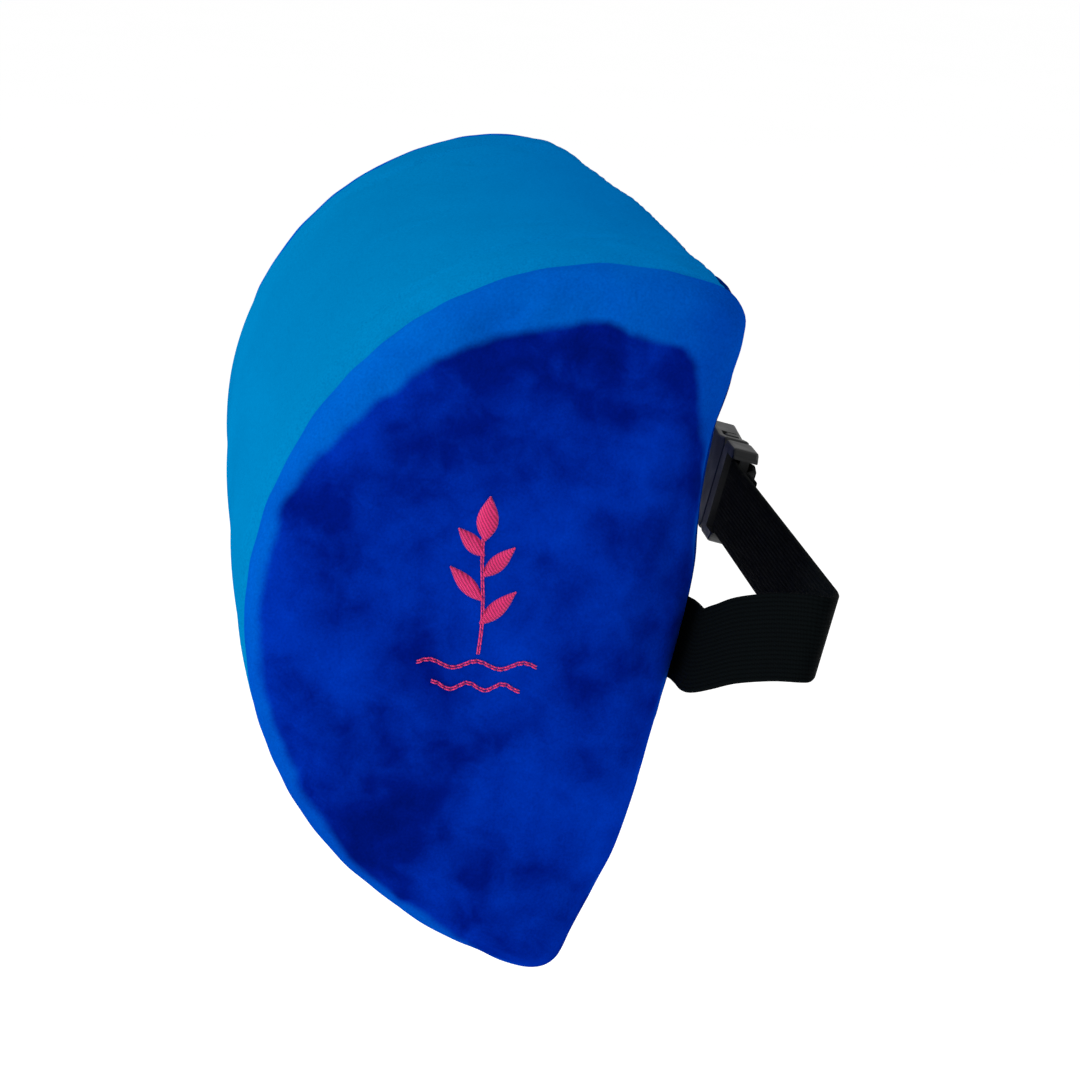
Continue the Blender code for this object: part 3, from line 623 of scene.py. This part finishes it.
def face_grid(ring, side, crown):
    """The inner points of an end's face: a blend of its four sides, with a slight crown."""
    nu, nv = BACK_SEGS, SIDE_SEGS
    p = ring[:, 1:]
    points = []
    for i in range(1, nu):
        u = i / nu
        for j in range(1, nv):
            v = j / nv
            sides = (1 - v) * p[i] + v * p[nu + nv + nu - i]
            sides = sides + (1 - u) * p[(AROUND - j) % AROUND] + u * p[nu + j]
            corners = ((1 - u) * (1 - v) * p[0] + u * (1 - v) * p[nu] + (1 - u) * v * p[nu + nv + nu]
                       + u * v * p[nu + nv])
            y, z = sides - corners
            lift = crown * (math.sin(math.pi * u) * math.sin(math.pi * v)) ** 0.7
            points.append((ring[0, 0] + side * lift, y, z))
    return np.array(points)


BAND_POINTS = (COLUMNS + 1) * AROUND
END_POINTS = RIM_RINGS * AROUND + (BACK_SEGS - 1) * (SIDE_SEGS - 1)


def band_index(column, k):
    return column * AROUND + k % AROUND


def ring_index(side, r, k):
    """A point of an end's rim ring; ring 0 is the end seam itself."""
    if r == 0:
        return band_index(0 if side == 0 else COLUMNS, k)
    return BAND_POINTS + side * END_POINTS + (r - 1) * AROUND + k % AROUND


def grid_index(side, i, j):
    nu, nv = BACK_SEGS, SIDE_SEGS
    if j == 0:
        return ring_index(side, RIM_RINGS, i)
    if j == nv:
        return ring_index(side, RIM_RINGS, nu + nv + nu - i)
    if i == 0:
        return ring_index(side, RIM_RINGS, AROUND - j)
    if i == nu:
        return ring_index(side, RIM_RINGS, nu + j)
    return BAND_POINTS + side * END_POINTS + RIM_RINGS * AROUND + (i - 1) * (nv - 1) + j - 1


def band_faces(start, end):
    """Faces of the tube between two section points, over all columns."""
    return [(band_index(c, k), band_index(c, k + 1), band_index(c + 1, k + 1), band_index(c + 1, k))
            for c in range(COLUMNS) for k in range(start, end)]


def end_faces(side):
    faces = []
    for r in range(RIM_RINGS):
        for k in range(AROUND):
            faces.append((ring_index(side, r, k), ring_index(side, r + 1, k),
                          ring_index(side, r + 1, k + 1), ring_index(side, r, k + 1)))
    for i in range(BACK_SEGS):
        for j in range(SIDE_SEGS):
            faces.append((grid_index(side, i, j), grid_index(side, i, j + 1),
                          grid_index(side, i + 1, j + 1), grid_index(side, i + 1, j)))
    if side == 1:
        faces = [tuple(reversed(f)) for f in faces]
    return faces


def all_faces():
    return band_faces(0, AROUND) + end_faces(0) + end_faces(1)


def simulate_cover(points):
    """Inflates the sewn cover with the cloth solver, its seams held, and returns how far each point moved."""
    skin = new_object("cloth_trial", points, all_faces(), smooth=False)
    bm = bmesh.new()
    bm.from_mesh(skin.data)
    bmesh.ops.recalc_face_normals(bm, faces=bm.faces)
    bm.to_mesh(skin.data)
    bm.free()
    seams = skin.vertex_groups.new(name="seams")
    held = {band_index(c, k) for c in range(COLUMNS + 1) for k in (0, UPPER_SEAM)}
    held |= {band_index(c, k) for c in (0, COLUMNS) for k in range(AROUND)}
    held |= {band_index(c, k) for c in range(COLUMNS + 1) for k in range(SLOT_LOW, SLOT_HIGH + 1)}
    seams.add(sorted(held), 1.0, "REPLACE")
    cloth = skin.modifiers.new("cloth", "CLOTH")
    settings = cloth.settings
    settings.quality = 4
    settings.mass = 0.3
    settings.tension_stiffness = 12.0
    settings.compression_stiffness = 12.0
    settings.shear_stiffness = 4.0
    settings.bending_stiffness = 0.6
    settings.vertex_group_mass = "seams"
    settings.use_pressure = True
    settings.uniform_pressure_force = CLOTH_PRESSURE
    settings.shrink_min = -0.012
    settings.effector_weights.gravity = 0.0
    cloth.collision_settings.use_collision = False
    cloth.point_cache.frame_start = 1
    cloth.point_cache.frame_end = CLOTH_FRAMES
    scene = bpy.context.scene
    for number in range(1, CLOTH_FRAMES + 1):
        scene.frame_set(number)
    graph = bpy.context.evaluated_depsgraph_get()
    result = skin.evaluated_get(graph)
    moved = np.zeros(len(points) * 3, np.float32)
    result.data.vertices.foreach_get("co", moved)
    moved = moved.reshape(-1, 3).astype(float) - points
    bpy.data.objects.remove(skin, do_unlink=True)
    scene.frame_set(1)
    return np.nan_to_num(moved)


def swell_limits(points):
    """How far each point may move: least on the flat back and at the end seams."""
    at_seam = np.exp(-((np.abs(points[:, 0]) - SEAM_X) / 0.009) ** 2)
    limit = SWELL * (1.0 - SWELL_LESS_AT_SEAM * at_seam)
    back = smooth_step(points[:, 1], -0.012, -0.001)
    return limit * (1.0 - back) + SWELL_ON_BACK * back


def point_normals(points, faces):
    corners = np.array(faces)
    a = points[corners[:, 2]] - points[corners[:, 0]]
    b = points[corners[:, 3]] - points[corners[:, 1]]
    flat = np.cross(a, b)
    normals = np.zeros_like(points)
    for i in range(4):
        np.add.at(normals, corners[:, i], flat)
    length = np.linalg.norm(normals, axis=1, keepdims=True)
    return normals / np.maximum(length, 1e-12)


def puckers(points, normals):
    """Small folds that run away from the end seams, and a slow unevenness of the stuffing."""
    out = np.zeros(len(points))
    near = np.exp(-((np.abs(points[:, 0]) - SEAM_X) / 0.012) ** 2)
    for i, p in enumerate(points):
        slow = noise.noise(Vector(p * 14.0))
        out[i] = SLOW_FOLD * slow
        if near[i] > 0.02:
            round_seam = Vector((math.copysign(3.0, p[0]), p[1] * 120.0, p[2] * 120.0))
            out[i] += SEAM_FOLD * near[i] * noise.noise(round_seam)
    still = smooth_step(points[:, 1], -0.006, -0.0005)
    return points + normals * (out * (1.0 - 0.75 * still))[:, None]


def cover_points():
    base = settle(cushion_points(COVER_INSET, RIM_RUN, RIM_INSET, END_CROWN))
    moved = simulate_cover(base)
    size = np.linalg.norm(moved, axis=1)
    limit = swell_limits(base)
    share = np.minimum(1.0, limit / np.maximum(size, 1e-9))
    swollen = base + moved * share[:, None]
    return puckers(swollen, point_normals(swollen, all_faces()))


def panel(name, points, normals, faces, mat, node, rim_sheen=None):
    """One sewn panel, cut out of the cover: its border dips into the seam and turns in under it."""
    used = sorted({i for f in faces for i in f})
    place = {v: i for i, v in enumerate(used)}
    local = [tuple(place[v] for v in f) for f in faces]
    sides = {}
    for f in local:
        for a, b in zip(f, f[1:] + f[:1]):
            key = (min(a, b), max(a, b))
            sides[key] = None if key in sides else (a, b)
    border = [pair for pair in sides.values() if pair is not None]
    rim = sorted({v for pair in border for v in pair})
    verts = points[used].copy()
    inward = -normals[used]
    verts[rim] += inward[rim] * SEAM_GROOVE
    under = {v: len(verts) + i for i, v in enumerate(rim)}
    skirt = verts[rim] + inward[rim] * SEAM_SKIRT
    for a, b in border:
        local.append((b, a, under[a], under[b]))
    obj = new_object(name, np.concatenate((verts, skirt)), local, [mat])
    # Attributes of the painted rim sheen, for the end panels.
    for title, values in (rim_sheen or {}).items():
        add_attribute(obj, title, np.concatenate((values[used], values[used][rim])))
    subdivide(obj)
    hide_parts(node)
    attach(obj, "root")
    return obj


def painted_rim_sheen(points):
    """Where the end panels' rounded rim gets a painted sheen: rim is over 0.5 in that strip, and lit says how
    light it is painted.

    The strip is widest round the upper back corner, narrower along the front, and narrowest down the back.
    """
    rim = np.zeros(len(points))
    lit = np.zeros(len(points))
    y, z, ny, nz = SECTION.T
    width = 0.0012 + 0.0028 * smooth_step(-ny, -0.1, 0.7) + 0.0108 * smooth_step(nz, 0.05, 0.95)
    width += 0.0120 * smooth_step(y, -0.055, -0.022) * smooth_step(z, 0.050, 0.082)
    # Painted light: lit is higher where the rim faces up and lower toward the back.
    bright = 0.35 + 0.65 * smooth_step(nz, -0.60, 0.70)
    bright *= 1.0 - 0.65 * smooth_step(y, -0.050, -0.010)
    for side in (0, 1):
        seam = points[[ring_index(side, 0, k) for k in range(AROUND)], 1:]
        own = range(BAND_POINTS + side * END_POINTS, BAND_POINTS + (side + 1) * END_POINTS)
        for i in own:
            gaps = np.linalg.norm(seam - points[i, 1:], axis=1)
            weights = np.exp((gaps.min() - gaps) / 0.005)
            weights /= weights.sum()
            rim[i] = 0.5 + (weights @ width - gaps.min()) / 0.02
            lit[i] = weights @ bright
        for k in range(AROUND):
            rim[ring_index(side, 0, k)] = 0.5 + width[k] / 0.02
            lit[ring_index(side, 0, k)] = bright[k]
    return {"rim": rim, "lit": lit}


def make_cover():
    points = cover_points()
    normals = point_normals(points, all_faces())
    plush, velour, knit = plush_material(), velour_material(), knit_material()
    # Painted sheen on the end panels' rounded rims.
    rim_sheen = painted_rim_sheen(points)
    panel("cover_band_plush", points, normals, band_faces(UPPER_SEAM, AROUND), plush,
          "cover_front_band")
    left = panel("cover_end_left_velour", points, normals, end_faces(1), velour,
                 "cover_end_left", rim_sheen)
    panel("cover_end_right_velour", points, normals, end_faces(0), velour,
          "cover_end_right", rim_sheen)
    lower = panel("cover_back_lower_knit", points, normals, band_faces(0, SLOT_LOW), knit,
                  "cover_back_lower")
    upper = panel("cover_back_upper_knit", points, normals, band_faces(SLOT_HIGH, UPPER_SEAM), knit,
                  "cover_back_upper")
    return left, upper, lower


def make_foam():
    """The foam block: the cover's own shape a little smaller, with a groove under the zip."""
    points = settle(cushion_points(FOAM_INSET, RIM_RUN - 0.001, RIM_INSET - 0.002, END_CROWN * 0.8))
    groove = 1.0 - smooth_step(np.abs(points[:, 2] - ZIP_Z), 0.011, 0.015)
    deep = np.minimum(points[:, 1], GROOVE_FLOOR)
    behind = points[:, 1] > -0.02
    points[behind, 1] = (points[:, 1] * (1.0 - groove) + deep * groove)[behind]
    foam = new_object("foam_block", points, all_faces(), [foam_material()])
    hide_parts("foam_core")
    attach(foam, "root")


def surface_tree(obj):
    """A search tree of an object's finished surface."""
    mesh = obj.evaluated_get(bpy.context.evaluated_depsgraph_get()).to_mesh()
    return BVHTree.FromPolygons([v.co[:] for v in mesh.vertices], [tuple(p.vertices) for p in mesh.polygons])


# ------------------------------------------------------------------ zip

def make_coils(mat):
    """Each half of the zip as a moulded nylon spiral along the inner edge of its tape."""
    for name, side in (("upper", 1.0), ("lower", -1.0)):
        low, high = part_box("zip_coil_" + name)
        middle_z = ZIP_Z + side * (COIL_INNER + COIL_OUTER) * 0.5
        half_z = (COIL_OUTER - COIL_INNER) * 0.5 - 0.0003
        middle_y = 0.5 * (low.y + high.y)
        half_y = 0.5 * (high.y - low.y) - 0.0003
        turns = int((high.x - low.x) / COIL_PITCH) - 1
        shift = 0.0 if side > 0 else 0.5 * COIL_PITCH
        path = []
        for i in range(turns * COIL_STEPS):
            a = 2.0 * math.pi * i / COIL_STEPS
            x = low.x + 0.0004 + shift + COIL_PITCH * i / COIL_STEPS
            path.append((x, middle_y + half_y * math.sin(a), middle_z + side * half_z * -math.cos(a)))
        verts, faces = tube_mesh([path], COIL_WIRE)
        coil = new_object("zip_spiral_" + name, verts, faces, [mat])
        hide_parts("zip_coil_" + name)
        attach(coil, "root")


def make_zip_guard(mat):
    """A flat strip of tape behind the slider's path, so that no foam shows between the two zip tapes."""
    half_x, half_z, half_y = 0.1845, 0.0065, 0.00025
    middle_y = -0.0061              # between the slider's lower plate and the floor of the foam's groove
    outline = [(-half_z, 0.0), (-half_z + 0.0003, half_y), (0.0, half_y), (half_z - 0.0003, half_y),
               (half_z, 0.0), (half_z - 0.0003, -half_y), (0.0, -half_y), (-half_z + 0.0003, -half_y)]
    count = len(outline)
    places = np.linspace(-half_x, half_x, 93)
    verts = [(x, middle_y + y + 0.0001 * math.sin(x * 180.0), ZIP_Z + z) for x in places for z, y in outline]
    faces = tube_faces(0, len(places), count)
    guard = new_object("zip_guard_tape", verts, faces, [mat])
    guard.data.set_sharp_from_angle(angle=math.radians(60.0))
    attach(guard, "root")


def make_zip_stitches(mat, upper, lower):
    """Topstitching beside the two lips of the zip slot, laid on the back panels."""
    paths = []
    for panel_obj, z in ((upper, ZIP_Z + ZIP_SLOT_HALF + ZIP_STITCH_MARGIN),
                         (lower, ZIP_Z - ZIP_SLOT_HALF - ZIP_STITCH_MARGIN)):
        tree = surface_tree(panel_obj)
        for i in range(ZIP_STITCHES):
            path = []
            for step, lift in ((0.0, -0.0002), (0.0005, 0.0002), (0.0018, 0.0002), (0.0023, -0.0002)):
                x = ZIP_STITCH_START + i * ZIP_STITCH_PITCH + step
                hit = tree.ray_cast(Vector((x, 0.05, z)), Vector((0.0, -1.0, 0.0)))
                path.append((x, hit[0].y + lift, z))
            paths.append(path)
    verts, faces = tube_mesh(paths, ZIP_THREAD)
    stitches = new_object("zip_topstitching", verts, faces, [mat])
    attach(stitches, "root")


# ------------------------------------------------------------------ strap

def smooth_route(points, steps):
    """A smooth curve through the points, with the given steps between each two."""
    points = [Vector(p) for p in points]
    padded = [points[0] * 2.0 - points[1]] + points + [points[-1] * 2.0 - points[-2]]
    route = []
    for i in range(len(points) - 1):
        a, b, c, d = padded[i:i + 4]
        for k in range(steps):
            t = k / steps
            linear = (c - a) * t
            square = (a * 2.0 - b * 5.0 + c * 4.0 - d) * t * t
            cube = (b * 3.0 - a - c * 3.0 + d) * t * t * t
            route.append(b + (linear + square + cube) * 0.5)
    return route + [points[-1]]


def turn_back(centre_x, centre_y, radius, toward, steps=12):
    """Half a circle, where the webbing folds back on itself round a bar or a hem."""
    return [Vector((centre_x + toward * radius * math.cos(a), centre_y + radius * math.sin(a), REAR_Z))
            for a in spread(-math.pi / 2.0, math.pi / 2.0, steps)]


def filled(route):
    """The same route with extra points on its long straight pieces."""
    step = 0.004
    out = [route[0]]
    for a, b in zip(route, route[1:]):
        count = max(1, int((b - a).length / step))
        out += [a.lerp(b, i / count) for i in range(1, count + 1)]
    return out


def webbing(name, route, mat, node):
    """Flat elastic along a route, with rounded selvedges, and its weave's coordinates stored on the mesh."""
    half, thick = WEB_WIDTH * 0.5, WEB_THICK * 0.5
    flat = half - 0.0006            # where the flat faces end and the rounded selvedges start
    outline = [(u, -thick) for u in np.linspace(-flat, flat, 7)]
    outline += [(half - 0.0001, -thick * 0.55), (half, 0.0), (half - 0.0001, thick * 0.55)]
    outline += [(u, thick) for u in np.linspace(flat, -flat, 7)]
    outline += [(-half + 0.0001, thick * 0.55), (-half, 0.0), (-half + 0.0001, -thick * 0.55)]
    count = len(outline)
    verts, across, along = [], [], []
    travelled = 0.0
    for i, p in enumerate(route):
        before, after = route[max(i - 1, 0)], route[min(i + 1, len(route) - 1)]
        tangent = (after - before).normalized()
        width = (Vector((0.0, 0.0, 1.0)) - tangent * tangent.z).normalized()
        out = tangent.cross(width).normalized()
        travelled += (p - before).length if i else 0.0
        for u, t in outline:
            verts.append(p + width * u + out * t)
            across.append(u + 0.02)                 # kept positive, for the ribs' pattern
            along.append(travelled)
    faces = []
    for i in range(len(route) - 1):
        for k in range(count):
            n = (k + 1) % count
            faces.append((i * count + k, i * count + n, (i + 1) * count + n, (i + 1) * count + k))
    faces.append(tuple(range(count)))
    faces.append(tuple(reversed(range((len(route) - 1) * count, len(route) * count))))
    obj = new_object(name, verts, faces, [mat])
    obj.data.set_sharp_from_angle(angle=math.radians(60.0))
    bm = bmesh.new()
    bm.from_mesh(obj.data)
    bmesh.ops.recalc_face_normals(bm, faces=bm.faces)
    bm.to_mesh(obj.data)
    bm.free()
    add_attribute(obj, "across", across)
    add_attribute(obj, "along", along)
    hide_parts(node)
    return obj


def make_straps(mat):
    """The near half ends in a sewn loop on the plug, and the far half doubles back through the socket."""
    start = smooth_route(SIDE_ROUTE, 6)
    route = start + [Vector((SEWN_LOOP_END, REAR_Y, REAR_Z))]
    route += turn_back(PLUG_BAR_X, BUCKLE_Y, LOOP_RADIUS, -1.0)
    route += [Vector((PLUG_BAR_X + 0.012, REAR_Y + LOOP_RADIUS + LAYER, REAR_Z))]
    route += [Vector((PLUG_BAR_X + 0.020, REAR_Y + LAYER, REAR_Z))]
    route += [Vector((SEWN_LOOP_END, REAR_Y + LAYER, REAR_Z))]
    left = webbing("elastic_strap_left", filled(route), mat, "strap_left")
    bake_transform(left)
    route = [Vector((-p.x, p.y, p.z)) for p in start]
    outer = REAR_Y + LAYER
    route += [Vector((SOCKET_BAR_X - 0.020, REAR_Y, REAR_Z))]
    route += turn_back(SOCKET_BAR_X, BUCKLE_Y, LOOP_RADIUS, 1.0)
    route += [Vector((SOCKET_BAR_X - 0.014, REAR_Y + LOOP_RADIUS + LAYER, REAR_Z))]
    route += [Vector((SOCKET_BAR_X - 0.025, outer, REAR_Z))]
    route += turn_back(TAIL_END, outer + LAYER * 0.5, LAYER * 0.5, -1.0, 6)
    route += [Vector((TAIL_END + HEM_LENGTH, outer + LAYER, REAR_Z))]
    right = webbing("elastic_strap_right", filled(route), mat, "strap_right")
    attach(right, "root")


def tack_paths(centre, along, across, out, half_width, half_length):
    """A zigzag of thread: a row of stitches across the webbing, each one a low arch."""
    paths = []
    for i in range(TACK_ROWS):
        s = -half_width + 2.0 * half_width * (i + 0.5) / TACK_ROWS
        lean = half_width / TACK_ROWS * 0.6
        a = centre + across * (s - lean) - along * half_length
        b = centre + across * (s + lean) + along * half_length
        paths.append([a - out * 0.0002, a.lerp(b, 0.15) + out * 0.00015, a.lerp(b, 0.5) + out * 0.0002,
                      a.lerp(b, 0.85) + out * 0.00015, b - out * 0.0002])
    return paths


def make_tacks(mat):
    x, y, z = Vector((1, 0, 0)), Vector((0, 1, 0)), Vector((0, 0, 1))
    for node, body in (("bar_tack_left", "root"), ("bar_tack_right", "root"),
                       ("bar_tack_plug", "buckle_plug"), ("bar_tack_tail", "root")):
        low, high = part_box(node)
        centre = (low + high) * 0.5
        centre.y = low.y - 0.0001
        verts, faces = tube_mesh(tack_paths(centre, x, z, y, 0.0102, 0.0012), TACK_THREAD)
        tack = new_object(node + "_thread", verts, faces, [mat])
        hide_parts(node)
        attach(tack, body)


# ------------------------------------------------------------------ motif

class Ground:
    """Finds the end panel's surface under a point of the motif."""

    def __init__(self, obj):
        self.tree = surface_tree(obj)
        self.sin, self.cos = math.sin(MOTIF_LEAN), math.cos(MOTIF_LEAN)

    def at(self, across, up, lift=0.0):
        y = MOTIF_CENTRE[0] + across * self.cos - up * self.sin
        z = MOTIF_CENTRE[1] + across * self.sin + up * self.cos
        hit = self.tree.ray_cast(Vector((0.3, y, z)), Vector((-1.0, 0.0, 0.0)))
        return Vector((hit[0].x + lift, y, z))


def halfway(a, b):
    return (a[0] + b[0]) * 0.5, (a[1] + b[1]) * 0.5


def satin(ground, outline_left, outline_right, count):
    """Satin stitch: threads laid side by side from one edge of a shape to the other."""
    paths = []
    for i in range(count):
        t = (i + 0.5) / count
        a, b = outline_left(t), outline_right(t)
        middle = halfway(a, b)
        paths.append([ground.at(*a, THREAD_DIP), ground.at(*halfway(a, middle), THREAD_LIFT),
                      ground.at(*middle, THREAD_LIFT * 1.25), ground.at(*halfway(b, middle), THREAD_LIFT),
                      ground.at(*b, THREAD_DIP)])
    return paths


def leaf_edges(root, side, length, width, slant):
    """The two edges of a leaf as functions of the share of its length."""
    def edge(sign):
        def at(t):
            along = t * length
            aside = sign * width * 0.5 * math.sin(math.pi * t ** 0.85)
            across = along * math.sin(slant) + aside * math.cos(slant)
            up = along * math.cos(slant) - aside * math.sin(slant)
            return side * across, root + up
        return at
    return edge(1.0), edge(-1.0)


def running(ground, line, count, share):
    """Running stitch along a curve given as a function of 0 to 1. share is a stitch's part of its step."""
    paths = []
    for i in range(count):
        a, b = line(i / count), line((i + share) / count)
        raised = [ground.at(a[0] + (b[0] - a[0]) * part, a[1] + (b[1] - a[1]) * part, THREAD_LIFT)
                  for part in (0.3, 0.7)]
        paths.append([ground.at(*a, THREAD_DIP), *raised, ground.at(*b, THREAD_DIP)])
    return paths


def make_motif(panel_obj):
    """A plain sprig with a bud, over two wavy rows of running stitch."""
    ground = Ground(panel_obj)
    paths = []
    leaves = ((-0.008, 1, 0.0140), (-0.001, -1, 0.0135), (0.006, 1, 0.0125), (0.012, -1, 0.0110))
    for root, side, length in leaves:
        left, right = leaf_edges(root, side, length, 0.0046, math.radians(45.0))
        paths += satin(ground, left, right, int(length / 0.00042))
    left, right = leaf_edges(0.0165, 1, 0.0130, 0.0062, math.radians(4.0))
    paths += satin(ground, left, right, 30)
    stem = [(lambda t, o=o: (o + 0.0006 * math.sin(t * 5.0), -0.017 + 0.034 * t)) for o in (-0.0003, 0.0003)]
    for line in stem:
        paths += running(ground, line, 14, 0.98)
    for drop, half, phase in ((-0.0205, 0.0175, 0.0), (-0.0270, 0.0130, 1.4)):
        for shift in (0.0, 0.0007):
            def wavy(t, drop=drop, half=half, phase=phase, shift=shift):
                return half * (2.0 * t - 1.0), drop + shift + 0.0011 * math.sin(t * 16.0 + phase)
            paths += running(ground, wavy, int(half * 2.0 / 0.0019), 0.86)
    verts, faces = tube_mesh(paths, MOTIF_THREAD)
    thread = thread_material("pink_embroidery_thread", (0.34, 0.006, 0.080), (0.78, 0.030, 0.190), 0.1,
                             0.0006)
    motif = new_object("embroidered_sprig", verts, faces, [thread])
    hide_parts("embroidered_motif")
    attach(motif, "root")


# ------------------------------------------------------------------ hardware

def repaint(node, mat):
    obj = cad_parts[node]
    obj.data.materials.clear()
    obj.data.materials.append(mat)
    return obj


def finish_hardware(tape):
    plastic, metal = plastic_material(), metal_material()
    for node in ("buckle_socket", "buckle_plug", "buckle_arm_upper", "buckle_arm_lower",
                 "strap_adjuster"):
        repaint(node, plastic)
    for node in ("zip_slider", "zip_pull", "zip_stop_closed", "zip_stop_open"):
        bevel(repaint(node, metal), 0.00025)
    for node in ("zip_tape_upper", "zip_tape_lower"):
        repaint(node, tape)


# ------------------------------------------------------------------ stage

def make_floor():
    far = FLOOR_HALF
    verts = [(-far, -far, 0), (far, -far, 0), (far, far, 0), (-far, far, 0)]
    floor = new_object("floor", verts, [(0, 1, 2, 3)], [floor_material()], smooth=False)
    floor.rotation_mode = "QUATERNION"
    floor.rotation_quaternion = TRUE_UP.to_track_quat("Z", "Y")
    floor.location = -TRUE_UP * FLOOR_DROP


def area_light(name, place, target, size, power):
    data = bpy.data.lights.new(name, "AREA")
    data.shape = "DISK"
    data.size = size
    data.energy = power
    lamp = bpy.data.objects.new(name, data)
    lamp.location = place
    lamp.rotation_mode = "QUATERNION"
    lamp.rotation_quaternion = (Vector(place) - Vector(target)).to_track_quat("Z", "Y")
    bpy.context.scene.collection.objects.link(lamp)


def make_light():
    world = bpy.data.worlds.new("studio")
    world.use_nodes = True
    background = world.node_tree.nodes["Background"]
    background.inputs["Color"].default_value = (1.0, 1.0, 1.0, 1.0)
    background.inputs["Strength"].default_value = WORLD_STRENGTH
    bpy.context.scene.world = world
    for light in LIGHTS:
        area_light(*light)


def make_camera():
    data = bpy.data.cameras.new("camera")
    data.sensor_width = SENSOR_MM
    data.lens = LENS_MM
    data.clip_start = 0.05
    data.clip_end = 200.0
    camera = bpy.data.objects.new("camera", data)
    back = (CAMERA_AT - LOOK_AT).normalized()
    right = CAMERA_UP.cross(back).normalized()
    up = back.cross(right)
    rotation = Matrix((right, up, back)).transposed().to_4x4()
    camera.matrix_world = Matrix.Translation(CAMERA_AT) @ rotation
    bpy.context.scene.collection.objects.link(camera)
    bpy.context.scene.camera = camera
    bpy.context.scene.view_settings.view_transform = "Standard"


# ------------------------------------------------------------------ assembly

make_camera()
make_light()
make_floor()
end_left, back_upper, back_lower = make_cover()
make_foam()
make_coils(coil_material())
zip_tape = tape_material()
make_zip_guard(zip_tape)
blue_thread = thread_material("blue_thread", (0.0, 0.010, 0.12), (0.0, 0.024, 0.24), 0.1)
make_zip_stitches(blue_thread, back_upper, back_lower)
make_straps(webbing_material())
make_tacks(thread_material("black_sewing_thread", (0.004, 0.005, 0.006), (0.020, 0.022, 0.025), 0.1))
make_motif(end_left)
finish_hardware(zip_tape)
